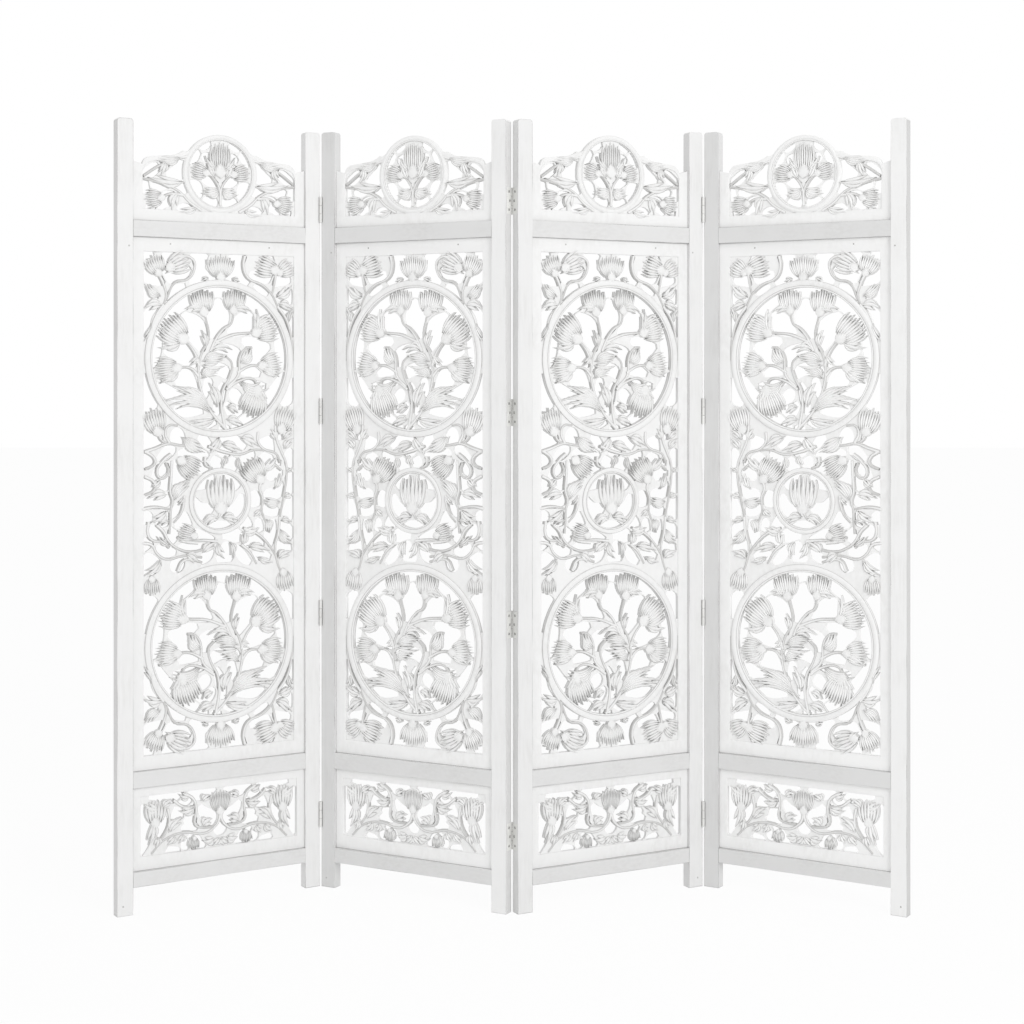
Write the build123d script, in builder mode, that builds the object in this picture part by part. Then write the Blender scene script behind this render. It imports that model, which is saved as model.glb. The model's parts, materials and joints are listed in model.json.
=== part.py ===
"""Carved jali folding screen: four framed panels of pierced boards, joined by butt hinges.

Millimetres, +Z up. The origin is on the floor, at the middle of the standing screen.
Panels 1 to 4 stand in a zigzag from left to right, and their fronts face -Y.
"""

from build123d import *
from math import cos, radians, sin
import os

# Panel
panel_height = 1829.0
panel_width = 508.0
frame_thickness = 25.4
stile_width = 38.0
stile_top_radius = 7.0

# Heights from the floor up: the main board takes what the others leave
foot_height = 62.0
bottom_rail_height = 35.0
lower_board_height = 192.0
middle_rail_height = 38.0
top_rail_height = 38.0
crest_height = 210.0
stile_above_crest = 22.0

# Grooves in the stiles, for the boards and for the stub tenons of the rails
board_thickness = 12.0
groove_depth = 8.0
groove_clearance = 0.1

# Plain margins round the pierced fields
main_side_margin = 29.0
main_end_margin = 36.0
lower_side_margin = 20.0
lower_bottom_margin = 32.0
lower_top_margin = 23.0

# Rings of the main board
medallion_radius = 186.0
medallion_band = 18.0
medallion_offset = 336.0
rosette_radius = 78.0
rosette_band = 13.0

# Outline of the crest: drops are measured from its highest point
crest_ring_radius = 92.0
crest_ring_band = 13.0
crest_shoulder_drop = 72.0
crest_cusp_drop = 80.0
crest_cusp_inset = 24.0
crest_wave_drop = 59.0
crest_wave_offset = 144.0
crest_wave_slope = 0.15
crest_nib_drop = 45.0
crest_nib_offset = 99.0
crest_base_margin = 25.0

# Butt hinges
hinge_count = 4
lowest_hinge_height = 175.0
hinge_spacing = 489.0
hinge_length = 62.0
leaf_thickness = 1.6
leaf_depth = 20.0
leaf_gap = 0.4
leaf_recess = 1.4
barrel_radius = 3.2
barrel_clearance = 0.3
pin_radius = 1.5
pin_clearance = 0.05
middle_knuckle_length = 20.0
knuckle_gap = 0.4
barrel_sides = 8

# Each panel's turn away from the straight line, as the screen stands
outer_panel_angle = 31.0
inner_panel_angle = 28.0

# Worked out from the values above
half_width = panel_width / 2
half_opening = half_width - stile_width
board_half_width = half_opening + groove_depth - groove_clearance
groove_width = board_thickness + 2 * groove_clearance
bottom_rail_top = foot_height + bottom_rail_height
lower_board_top = bottom_rail_top + lower_board_height
middle_rail_top = lower_board_top + middle_rail_height
crest_top = panel_height - stile_above_crest
crest_base = crest_top - crest_height
top_rail_base = crest_base - top_rail_height
crest_shoulder = crest_top - crest_shoulder_drop
main_middle = (top_rail_base + middle_rail_top) / 2
main_field_side = half_opening - main_side_margin
main_field_end = (top_rail_base - middle_rail_top) / 2 - main_end_margin
medallion_opening = medallion_radius - medallion_band
pin_standoff = barrel_radius + barrel_clearance
panel_gap = 2 * (leaf_thickness - leaf_recess) + leaf_gap
hinge_heights = [lowest_hinge_height + step * hinge_spacing for step in range(hinge_count)]

# Piercings: corners of each hole, in hundredths of the half size of its field, so that the
# pattern keeps its place when the field changes. All are seen from the front.

MEDALLION_PIERCINGS = [
    [(-54, 57), (-32, 52), (-21, 36), (-27, 9), (-40, 22), (-51, 36)],
    [(-2, 79), (-16, 63), (-15, 42), (-11, 28), (6, 42), (12, 58)],
    [(15, 32), (28, 57), (43, 58), (51, 66), (46, 42), (41, 34)],
    [(36, 22), (52, 24), (73, 14), (62, 2), (60, -6), (43, -8), (51, 9)],
    [(-80, 8), (-64, 18), (-46, 12), (-36, -12), (-66, -4)],
    [(-63, -40), (-61, -27), (-52, -18), (-43, -27), (-36, -45)],
    [(-7, 11), (1, 15), (31, 7), (23, -12), (19, 0)],
    [(-27, -22), (-17, -12), (11, -16), (10, -28), (-2, -20)],
    [(16, -55), (22, -48), (32, -60), (26, -66)],
    [(10, -68), (13, -80), (28, -93), (53, -83), (22, -82)],
    [(-90, -38), (-83, -55), (-33, -68), (-71, -49)],
    [(-66, -74), (-52, -82), (-27, -77)],
]

# Crescents between a ring and the carving inside it: start and end in degrees, and depth
MEDALLION_CRESCENTS = [
    (76, 106, 8),
    (118, 147, 11),
    (38, 64, 7),
    (-5, 23, 11),
    (-46, -20, 10),
]
ROSETTE_CRESCENTS = [(108, 148, 16), (32, 70, 14), (-122, -66, 14)]
ROSETTE_PIERCINGS = [
    [(-96, 6), (-76, -22), (-28, -20), (-52, -52), (-80, -54)],
    [(3, -38), (60, -30), (85, 15), (86, -25), (62, -56), (18, -58)],
]

# Between the rings and the sides, on both sides of the rosette
VINE_PIERCINGS = [
    [(-100, 89), (-86, 89), (-78, 80), (-87, 72), (-100, 69)],
    [(-81, 56), (-72, 71), (-61, 68), (-72, 57)],
    [(-57, 61), (-39, 67), (-17, 61), (-25, 52), (-30, 61)],
    [(-87, 33), (-81, 48), (-71, 47), (-79, 36)],
    [(-61, 51), (-57, 33), (-47, 30), (-59, 23)],
    [(-100, 6), (-100, -2), (-68, -2), (-65, 13), (-71, 7)],
    [(-82, -55), (-75, -53), (-59, -62), (-75, -65)],
    [(-100, -65), (-91, -65), (-80, -74), (-90, -84), (-100, -85)],
    [(-27, -74), (-22, -66), (-12, -61), (-16, -71)],
    [(-4, -72), (6, -53), (10, -53), (14, -72)],
    [(20, -58), (25, -60), (39, -78), (27, -74)],
    [(33, -55), (47, -44), (57, -55)],
    [(60, -46), (70, -28), (72, -41), (68, -56)],
    [(76, -70), (79, -55), (95, -62), (85, -67)],
    [(80, -41), (82, -30), (95, -35), (95, -48)],
    [(86, -20), (94, 0), (97, -23)],
    [(59, -10), (76, -12), (75, -18), (65, -16)],
    [(42, 9), (52, 8), (52, -5), (42, -6)],
    [(60, 4), (74, 11), (80, 21), (83, 20), (81, 4)],
    [(53, 53), (60, 57), (67, 56), (68, 49), (59, 46)],
    [(55, 74), (67, 79), (69, 64), (58, 69)],
    [(-27, 82), (-22, 81), (-12, 67), (-17, 69)],
    [(-2, 78), (24, 76), (32, 68)],
]

# Beyond the rings, measured from each end of the field
END_PIERCINGS = [
    [(-37, 0), (-20, 0), (-26, 14), (-22, 25), (-38, 35), (-30, 20)],
    [(14, 0), (31, 0), (24, 12), (28, 23), (37, 34), (21, 23), (21, 10)],
    [(-74, 19), (-66, 25), (-42, 19), (-50, 30), (-67, 36)],
    [(-99, 24), (-82, 28), (-76, 36), (-98, 35)],
    [(-99, 44), (-95, 53), (-83, 54), (-99, 65)],
    [(-100, 103), (-100, 76), (-85, 66)],
    [(40, 23), (55, 22), (68, 14), (65, 32), (52, 30)],
    [(72, 36), (78, 23), (94, 27)],
    [(81, 65), (95, 72), (97, 99)],
    [(-100, 151), (-100, 195), (-85, 190)],
    [(97, 157), (97, 186), (84, 188)],
]

# One side of the lower board, and the one hole on its centre line
LOWER_PIERCINGS = [
    [(-100, 65), (-100, -84), (-90, -50), (-92, 4)],
    [(-87, 97), (-65, 77), (-49, 98)],
    [(-39, 98), (-26, 74), (-7, 98)],
    [(-83, 18), (-75, 23), (-68, 8), (-72, -36), (-76, 4)],
    [(-60, 9), (-55, 47), (-48, 24)],
    [(-43, 8), (-33, 8), (-30, -28), (-47, -26)],
    [(-25, 36), (-21, 8), (-18, -21), (-7, 5), (-17, 14)],
    [(-38, -52), (-29, -62), (-19, -97), (-34, -97)],
]
LOWER_CENTRE_PIERCING = [(-6, -39), (0, -25), (6, -39), (0, -53)]

# One side of the crest: between the ring and the stile, then inside the ring
CREST_PIERCINGS = [
    [(99, 81), (77, 100), (64, 106), (64, 94)],
    [(38, 86), (6, 116), (7, 80)],
    [(99, 65), (84, 60), (90, 46), (99, 46)],
    [(82, 59), (42, 58), (65, 51)],
    [(22, 62), (4, 62), (7, 50)],
    [(49, 40), (27, 38), (35, 18), (57, 5)],
    [(12, 4), (-2, 14), (-22, 3)],
]
CREST_RING_PIERCINGS = [
    [(-58, 74), (-46, 84), (-34, 88), (-48, 72)],
    [(-52, -15), (-42, -9), (-16, -30)],
    [(-90, -28), (-67, -30), (-63, -68), (-82, -50)],
    [(-50, -76), (-18, -78), (-16, -91)],
]


def hole(corners, centre, across, up):
    """Return one hole: its corners in hundredths of the lengths across and up."""
    places = [(centre[0] + x * across / 100, centre[1] + y * up / 100) for x, y in corners]
    return Polygon(*places, align=None, mode=Mode.PRIVATE)


def crescent(centre, radius, start, end, depth, side=1):
    """Return the hole between a ring's inner edge and a chord that bows towards it."""

    def at(angle, share):
        reach = radius * share
        return (
            centre[0] + side * reach * cos(radians(angle)),
            centre[1] + reach * sin(radians(angle)),
        )

    third = (end - start) / 3
    inner = 1 - depth / 100
    with BuildLine() as edge:
        ThreePointArc(at(start, 1), at((start + end) / 2, 1), at(end, 1))
        Polyline(at(end, 1), at(end - third, inner), at(start + third, inner), at(start, 1))
    return make_face(edge.line, mode=Mode.PRIVATE)


def medallion_holes(centre, side):
    """Return the holes of one medallion; side is -1 for its mirror image."""
    reach = medallion_radius - medallion_band
    holes = [hole(corners, centre, side * reach, reach) for corners in MEDALLION_PIERCINGS]
    return holes + [crescent(centre, reach, *arc, side) for arc in MEDALLION_CRESCENTS]


def rosette_holes():
    """Return the holes of the small ring in the middle of the main board."""
    reach = rosette_radius - rosette_band
    holes = [hole(corners, (0, 0), reach, reach) for corners in ROSETTE_PIERCINGS]
    return holes + [crescent((0, 0), reach, *arc) for arc in ROSETTE_CRESCENTS]


def field_holes():
    """Return the holes of the main board outside its rings."""
    reach = main_field_side
    holes = [hole(corners, (0, 0), reach, reach) for corners in VINE_PIERCINGS]
    for end in (1, -1):
        border = (0, end * main_field_end)
        holes += [hole(corners, border, reach, -end * reach) for corners in END_PIERCINGS]
    return holes


# Fretwork of the three boards, each drawn once about its own centre or base

with BuildSketch() as main_fretwork:
    Rectangle(2 * board_half_width, top_rail_base - middle_rail_top)
    add(field_holes(), mode=Mode.SUBTRACT)
    with Locations((0, medallion_offset), (0, -medallion_offset)):
        Circle(medallion_radius)
    Circle(rosette_radius)
    add(medallion_holes((0, medallion_offset), 1), mode=Mode.SUBTRACT)
    add(medallion_holes((0, -medallion_offset), -1), mode=Mode.SUBTRACT)
    add(rosette_holes(), mode=Mode.SUBTRACT)

with BuildSketch() as lower_fretwork:
    across = half_opening - lower_side_margin
    up = (lower_board_height - lower_bottom_margin - lower_top_margin) / 2
    with Locations((0, lower_board_height / 2)):
        Rectangle(2 * board_half_width, lower_board_height)
    field_centre = (0, lower_bottom_margin + up)
    for side in (1, -1):
        add(
            [hole(corners, field_centre, side * across, up) for corners in LOWER_PIERCINGS],
            mode=Mode.SUBTRACT,
        )
    add(hole(LOWER_CENTRE_PIERCING, field_centre, across, up), mode=Mode.SUBTRACT)

with BuildSketch() as crest_fretwork:
    cusp = (crest_cusp_inset - half_opening, crest_height - crest_cusp_drop)
    wave = (-crest_wave_offset, crest_height - crest_wave_drop)
    nib = (-crest_nib_offset, crest_height - crest_nib_drop)
    shoulder = crest_height - crest_shoulder_drop
    with BuildLine():
        Polyline((0, 0), (-board_half_width, 0), (-board_half_width, shoulder))
        Polyline((-board_half_width, shoulder), (-half_opening, shoulder), cusp)
        TangentArc(wave, cusp, tangent=(-1, -crest_wave_slope))
        Polyline(wave, nib, (0, nib[1]), (0, 0))
    make_face()
    mirror(about=Plane.YZ)
    ring_centre = (0, crest_height - crest_ring_radius)
    with Locations(ring_centre):
        Circle(crest_ring_radius)
    side_field = half_opening - crest_cusp_inset - crest_ring_radius
    opening = crest_ring_radius - crest_ring_band
    for side in (1, -1):
        corner = (side * crest_ring_radius, crest_base_margin)
        add(
            [
                *[hole(c, corner, side * side_field, side_field) for c in CREST_PIERCINGS],
                *[hole(c, ring_centre, side * opening, opening) for c in CREST_RING_PIERCINGS],
            ],
            mode=Mode.SUBTRACT,
        )


# Plan of the standing screen, worked out from the middle hinge line to the right


def turned(angle):
    """Return the directions along a panel and towards its back, for its turn in degrees."""
    along = Vector(cos(radians(angle)), sin(radians(angle)), 0)
    back = Vector(-sin(radians(angle)), cos(radians(angle)), 0)
    return along, back


edge_reach = half_width + panel_gap / 2
face_reach = frame_thickness / 2 + pin_standoff
inner_along, inner_back = turned(inner_panel_angle)
outer_along, outer_back = turned(-outer_panel_angle)
inner_middle = inner_along * edge_reach - inner_back * face_reach
outer_pin = inner_middle + inner_along * edge_reach - inner_back * face_reach
outer_middle = outer_pin + outer_along * edge_reach + outer_back * face_reach
corner_depths = [
    (middle + along * end * half_width + back * face * frame_thickness / 2).Y
    for middle, along, back in (
        (inner_middle, inner_along, inner_back),
        (outer_middle, outer_along, outer_back),
    )
    for end in (1, -1)
    for face in (1, -1)
]
depth_centre = (max(corner_depths) + min(corner_depths)) / 2


def standing(place, side=1):
    """Return a place of the plan in the screen's own frame; side is -1 for the left half."""
    return Vector(side * place.X, place.Y - depth_centre, 0)


panel_turns = {
    1: outer_panel_angle,
    2: -inner_panel_angle,
    3: inner_panel_angle,
    4: -outer_panel_angle,
}
panel_middles = {
    1: standing(outer_middle, -1),
    2: standing(inner_middle, -1),
    3: standing(inner_middle),
    4: standing(outer_middle),
}

# Hinge lines: the panels they join, the pin's place, the way from the pin to the leaves (1 is
# towards the back) and the panel whose leaves carry the pins
hinge_lines = {
    (1, 2): (standing(outer_pin, -1), 1, 2),
    (2, 3): (standing(Vector(0, 0, 0)), -1, 2),
    (3, 4): (standing(outer_pin), 1, 3),
}


def face_of(number, height=0.0):
    """Return the plane in the middle of a panel's thickness, at a height, facing its front."""
    along, back = turned(panel_turns[number])
    middle = panel_middles[number]
    return Plane(origin=(middle.X, middle.Y, height), x_dir=along, z_dir=-back)


def save(piece, name):
    """Label a finished piece and write it."""
    piece.part.label = name
    export_step(piece.part, f"parts/{name}.step")


os.makedirs("parts", exist_ok=True)

for number in panel_turns:
    face = face_of(number)

    # Stiles, whose lower ends are the feet
    for name, side in (("left", -1), ("right", 1)):
        with BuildPart() as stile:
            with BuildSketch(face) as outline:
                with Locations((side * (half_width - stile_width / 2), panel_height / 2)):
                    Rectangle(stile_width, panel_height)
                fillet(outline.vertices().group_by(Axis.Y)[-1], radius=stile_top_radius)
            extrude(amount=frame_thickness / 2, both=True)
            with BuildSketch(face):
                groove_length = crest_shoulder - foot_height + 2 * groove_clearance
                with Locations((side * half_opening, (crest_shoulder + foot_height) / 2)):
                    Rectangle(2 * groove_depth, groove_length)
            extrude(amount=groove_width / 2, both=True, mode=Mode.SUBTRACT)
            # Recesses for the hinge leaves, cut in from the face that the pins stand on
            for (left, right), (_, leaf_way, _) in hinge_lines.items():
                if (number, side) in ((left, 1), (right, -1)):
                    with BuildSketch(face.offset(leaf_way * frame_thickness / 2)):
                        for height in hinge_heights:
                            with Locations((side * (half_width - leaf_recess / 2), height)):
                                Rectangle(leaf_recess, hinge_length)
                    extrude(amount=-leaf_way * leaf_depth, mode=Mode.SUBTRACT)
        save(stile, f"panel_{number}_{name}_stile")

    # Rails, each with a stub tenon at both ends
    for name, base, height in (
        ("bottom", foot_height, bottom_rail_height),
        ("middle", lower_board_top, middle_rail_height),
        ("top", top_rail_base, top_rail_height),
    ):
        with BuildPart() as rail:
            with BuildSketch(face):
                with Locations((0, base + height / 2)):
                    Rectangle(2 * half_opening, height)
            extrude(amount=frame_thickness / 2, both=True)
            with BuildSketch(face):
                with Locations((0, base + height / 2)):
                    Rectangle(2 * board_half_width, height)
            extrude(amount=board_thickness / 2, both=True)
        save(rail, f"panel_{number}_{name}_rail")

    # Boards: panels 2 and 4 are the mirror image of panels 1 and 3
    for name, fretwork, height in (
        ("lower", lower_fretwork, bottom_rail_top),
        ("main", main_fretwork, main_middle),
        ("crest", crest_fretwork, crest_base),
    ):
        with BuildPart() as board:
            with BuildSketch(face_of(number, height)):
                if number in (1, 3):
                    add(fretwork.sketch)
                else:
                    add(mirror(fretwork.sketch, about=Plane.YZ, mode=Mode.PRIVATE))
            extrude(amount=board_thickness / 2, both=True)
        save(board, f"panel_{number}_{name}_board")


# Hinges. Barrels, pins and bores have flats, which keep the twelve small hinges light: a pin's
# corners clear the flats of its bore by the pin clearance at any angle.

end_knuckle_length = (hinge_length - middle_knuckle_length) / 2 - knuckle_gap
end_knuckles = [0.0, hinge_length - end_knuckle_length]
middle_knuckle = [(hinge_length - middle_knuckle_length) / 2]

for (left, right), (pin, leaf_way, pin_carrier) in hinge_lines.items():
    for number, side in ((left, -1), (right, 1)):
        along, back = turned(panel_turns[number])
        pinned = number == pin_carrier
        knuckles = end_knuckles if pinned else middle_knuckle
        knuckle_length = end_knuckle_length if pinned else middle_knuckle_length
        leaf_offset = side * (leaf_gap + leaf_thickness) / 2
        with BuildPart() as leaves:
            for height in hinge_heights:
                foot = Plane(origin=(pin.X, pin.Y, height - hinge_length / 2), x_dir=along)
                with BuildSketch(foot):
                    with Locations((leaf_offset, leaf_way * (pin_standoff + leaf_depth / 2))):
                        Rectangle(leaf_thickness, leaf_depth)
                extrude(amount=hinge_length)
                for start in knuckles:
                    with BuildSketch(foot.offset(start)):
                        with Locations((leaf_offset, leaf_way * pin_standoff / 2)):
                            Rectangle(leaf_thickness, pin_standoff)
                        RegularPolygon(barrel_radius, barrel_sides)
                    extrude(amount=knuckle_length)
                if pinned:
                    with BuildSketch(foot):
                        RegularPolygon(pin_radius, barrel_sides)
                    extrude(amount=hinge_length)
                else:
                    with BuildSketch(foot):
                        bore_radius = pin_radius + pin_clearance
                        RegularPolygon(bore_radius, barrel_sides, major_radius=False)
                    extrude(amount=hinge_length, mode=Mode.SUBTRACT)
        kind = "pinned" if pinned else "plain"
        save(leaves, f"hinges_{left}_{right}_{kind}_leaves")
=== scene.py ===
"""Dresses the carved jali folding screen: carved boards, worn white paint, hinges and brads."""

import json
import math

import bpy
import numpy as np
from mathutils import Matrix, Vector

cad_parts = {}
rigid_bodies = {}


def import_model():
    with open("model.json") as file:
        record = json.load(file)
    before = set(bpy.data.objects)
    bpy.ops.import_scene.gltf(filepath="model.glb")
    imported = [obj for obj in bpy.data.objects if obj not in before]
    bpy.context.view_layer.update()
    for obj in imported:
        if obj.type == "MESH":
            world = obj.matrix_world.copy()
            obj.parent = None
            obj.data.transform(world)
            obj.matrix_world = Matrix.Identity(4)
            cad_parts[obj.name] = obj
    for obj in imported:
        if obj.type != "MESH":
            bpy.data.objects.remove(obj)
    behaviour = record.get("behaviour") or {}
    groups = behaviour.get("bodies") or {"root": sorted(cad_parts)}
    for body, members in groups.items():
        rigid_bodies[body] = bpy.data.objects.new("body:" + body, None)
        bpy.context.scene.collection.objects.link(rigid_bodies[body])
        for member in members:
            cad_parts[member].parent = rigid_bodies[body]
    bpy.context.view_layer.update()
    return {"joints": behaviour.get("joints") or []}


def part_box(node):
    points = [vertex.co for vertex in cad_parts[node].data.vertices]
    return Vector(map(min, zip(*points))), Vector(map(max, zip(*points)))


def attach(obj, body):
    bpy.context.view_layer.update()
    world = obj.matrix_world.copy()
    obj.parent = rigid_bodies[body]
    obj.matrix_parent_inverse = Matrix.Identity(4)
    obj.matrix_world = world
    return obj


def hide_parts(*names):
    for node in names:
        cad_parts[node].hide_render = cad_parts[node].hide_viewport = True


bl_info = {
    "name": "Carved Jali Screen",
    "version": (1, 0, 0),
    "blender": (4, 5, 0),
    "location": "View3D > Sidebar > Jali Screen",
    "description": "Builds the carved boards, paint, hinges and brads of a folding screen",
    "category": "Object",
}

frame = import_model()

MM = 0.001
PANELS = (1, 2, 3, 4)
MIRRORED_PANELS = (2, 4)
OUTER_PANEL_TURN = 31.0
INNER_PANEL_TURN = 28.0
PANEL_TURNS = {
    1: OUTER_PANEL_TURN,
    2: -INNER_PANEL_TURN,
    3: INNER_PANEL_TURN,
    4: -OUTER_PANEL_TURN,
}

# Every carving is drawn on one panel seen from the front, in millimetres: x from the left edge
# of the panel and y from the floor. These are the lines that it is centred on.
MAIN_CENTRE = 943.0
MEDALLION_CENTRE = 1279.0
DRAWN_CENTRE = 252.0

# Sizes of the boards, as in the frame
BOARD_HALF_WIDTH = 223.9
BOARD_HALF_THICKNESS = 6.0
MAIN_BASE, MAIN_TOP = 327.0, 1559.0
LOWER_BASE, LOWER_TOP = 97.0, 289.0
CREST_BASE, CREST_SHOULDER, CREST_TOP = 1597.0, 1735.0, 1807.0
MEDALLION_OUTER, MEDALLION_INNER = 186.0, 168.0
ROSETTE_OUTER, ROSETTE_INNER = 78.0, 65.0
CREST_RING_OUTER, CREST_RING_INNER = 92.0, 79.0
MAIN_FIELD = (-188.5, -583.0, 188.5, 583.0)
LOWER_FIELD = (-196.0, 31.5, 196.0, 170.5)
GROUND_HALF_THICKNESS = 4.0

# How wide the chisel's point is, how much wider the openings are cut, in how many steps, the wall
# they leave between them, and the longest side that a widened opening has
CHISEL_POINT = 1.2
WIDER_CUT = 9.0
WIDENING_STEPS = 4
THINNEST_WALL = 3.0
LONGEST_SIDE = 8.0

# A flower's cup, as a share of its height, and how far its petals lean out of their full spread;
# and the half width from which a leaf has five blades
CUP_HALF_WIDTH = 0.2
PETAL_LEAN = 0.35
WIDE_LEAF = 9.5

# Butt hinges, as in the frame. Leaves point from the pin towards the back (1) or the front (-1).
HINGE_HEIGHTS = [175.0 + 489.0 * step for step in range(4)]
HINGE_LENGTH, MIDDLE_KNUCKLE, KNUCKLE_GAP = 62.0, 20.0, 0.4
LEAF_THICKNESS, LEAF_DEPTH, LEAF_OFFSET = 1.6, 20.0, 1.0
BARREL_RADIUS, PIN_RADIUS, PIN_STANDOFF = 3.2, 1.5, 3.5
SCREW_RADIUS, SCREW_SLOT = 3.1, 0.8
HINGE_SCREWS = [(12.5, 10.0, 20.0), (8.5, 31.0, 75.0), (12.5, 52.0, 50.0)]
HINGE_LINES = {(1, 2): (1, 2), (2, 3): (-1, 2), (3, 4): (1, 3)}

# Nail heads: across from the panel's middle, up from the floor, and what each is driven into
FRAME_HALF_THICKNESS = 12.7
BOARD_BRADS = [(-124.0, 1545.0), (124.0, 1545.0)]
STILE_NAILS = [(226.0, 1537.0), (240.0, 22.0)]
NAIL_RADIUS = 2.0
ARRIS_WIDTH = 0.0022
ARRIS_RUB = 0.9
# How far the painted shade in joints and cuts reaches, and how strongly it is painted into the
# frame's joints and into the carving
SHADE_REACH = 0.0028
JOINT_SHADE, CARVING_SHADE = 0.85, 0.52
STILE_GRAIN, RAIL_GRAIN, CARVING_GRAIN = (6.0, 6.0, 0.7), (0.9, 6.0, 6.0), (4.0, 4.0, 2.0)
SMOOTH_METAL_BELOW, SMOOTH_CARVING_BELOW = math.radians(35), math.radians(50)

# How light each panel's left and right stile, its rails and its carved boards are painted: the
# paint's own tone, with painted light and shade for how the lamps fall on each panel
STILE_SHADES = {1: (0.975, 0.975), 2: (0.845, 1.035), 3: (0.91, 0.915), 4: (0.84, 1.04)}
RAIL_SHADES = {1: 0.88, 2: 0.88, 3: 0.835, 4: 0.86}
BOARD_SHADES = {1: 1.0, 2: 1.07, 3: 0.97, 4: 1.06}

# How much painted shade darkens the free sides of some stiles, in place of shade that the lamps
# don't give them
PAINTED_SIDE_SHADES = {(1, "left"): 0.12, (2, "right"): 0.21, (4, "right"): 0.37}

# Openings. Each is a list of corners: its sides bow a little and its wide corners are rounded.

MEDALLION_OPENINGS = [
    [(162, 1381), (199, 1373), (218, 1345), (208, 1300), (186, 1322), (168, 1345)],
    [(250, 1418), (226, 1391), (228, 1356), (234, 1332), (263, 1355), (273, 1382)],
    [(278, 1339), (300, 1380), (318, 1380), (330, 1384), (330, 1355), (322, 1342)],
    [(313, 1322), (340, 1325), (376, 1308), (357, 1288), (354, 1275), (325, 1271), (339, 1300)],
    [(119, 1298), (145, 1315), (176, 1305), (192, 1265), (142, 1278)],
    [(147, 1218), (151, 1240), (166, 1255), (181, 1240), (192, 1209)],
    [(241, 1303), (255, 1310), (305, 1297), (292, 1265), (285, 1285)],
    [(208, 1248), (224, 1265), (271, 1258), (270, 1238), (250, 1251)],
    [(280, 1193), (290, 1204), (307, 1184), (297, 1174)],
    [(270, 1171), (275, 1153), (290, 1142), (314, 1162), (290, 1160)],
    [(102, 1221), (114, 1193), (198, 1171), (134, 1203)],
    [(142, 1161), (166, 1147), (208, 1156)],
    [(310, 1248), (330, 1258), (352, 1243)],
    [(296, 1226), (330, 1222), (366, 1214), (330, 1216)],
    [(213, 1188), (222, 1228), (230, 1224)],
    [(245, 1150), (244, 1190), (262, 1218), (256, 1180)],
    [(192, 1120), (205, 1114), (240, 1130), (222, 1133)],
    [(254, 1112), (268, 1115), (281, 1110), (266, 1106)],
]
MEDALLION_CRESCENTS = [
    (28, 78, 0.11),
    (81, 108, 0.11),
    (111, 152, 0.12),
    (156, 186, 0.09),
    (-8, 25, 0.11),
    (-80, -12, 0.12),
]
ROSETTE_OPENINGS = [
    [(188, 943), (201, 925), (232, 926), (216, 905), (198, 904)],
    [(256, 914), (289, 920), (305, 949), (306, 923), (290, 903), (264, 902)],
    [(262, 975), (282, 966), (300, 978), (284, 996), (266, 1002)],
    [(190, 972), (204, 988), (228, 1001), (232, 978), (208, 976)],
]
ROSETTE_CRESCENTS = [(-118, -68, 0.15)]
END_OPENINGS = [
    [(184, 1523), (216, 1523), (204, 1497), (212, 1476), (238, 1473), (182, 1457), (198, 1488)],
    [(280, 1523), (310, 1523), (300, 1500), (305, 1480), (320, 1460), (270, 1474), (293, 1482)],
    [(112, 1512), (120, 1523), (135, 1521), (133, 1508), (121, 1504)],
    [(115, 1487), (130, 1476), (174, 1488), (160, 1466), (127, 1456)],
    [(67, 1478), (100, 1471), (110, 1455), (70, 1458)],
    [(122, 1418), (140, 1446), (162, 1447), (142, 1432)],
    [(66, 1440), (72, 1425), (95, 1423), (75, 1418), (66, 1402)],
    [(66, 1330), (66, 1378), (94, 1400), (75, 1378), (72, 1345)],
    [(330, 1480), (355, 1483), (380, 1497), (375, 1465), (350, 1468)],
    [(388, 1458), (396, 1480), (424, 1472), (424, 1466), (402, 1463)],
    [(358, 1510), (368, 1521), (382, 1518), (376, 1509)],
    [(342, 1455), (355, 1452), (370, 1437), (352, 1444)],
    [(398, 1430), (427, 1444), (427, 1415)],
    [(403, 1402), (430, 1386), (431, 1335), (420, 1370)],
    [(66, 1240), (66, 1157), (90, 1167), (93, 1178), (75, 1212)],
    [(432, 1230), (432, 1175), (410, 1172), (425, 1200)],
    [(66, 1512), (66, 1523), (84, 1523)],
]
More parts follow.
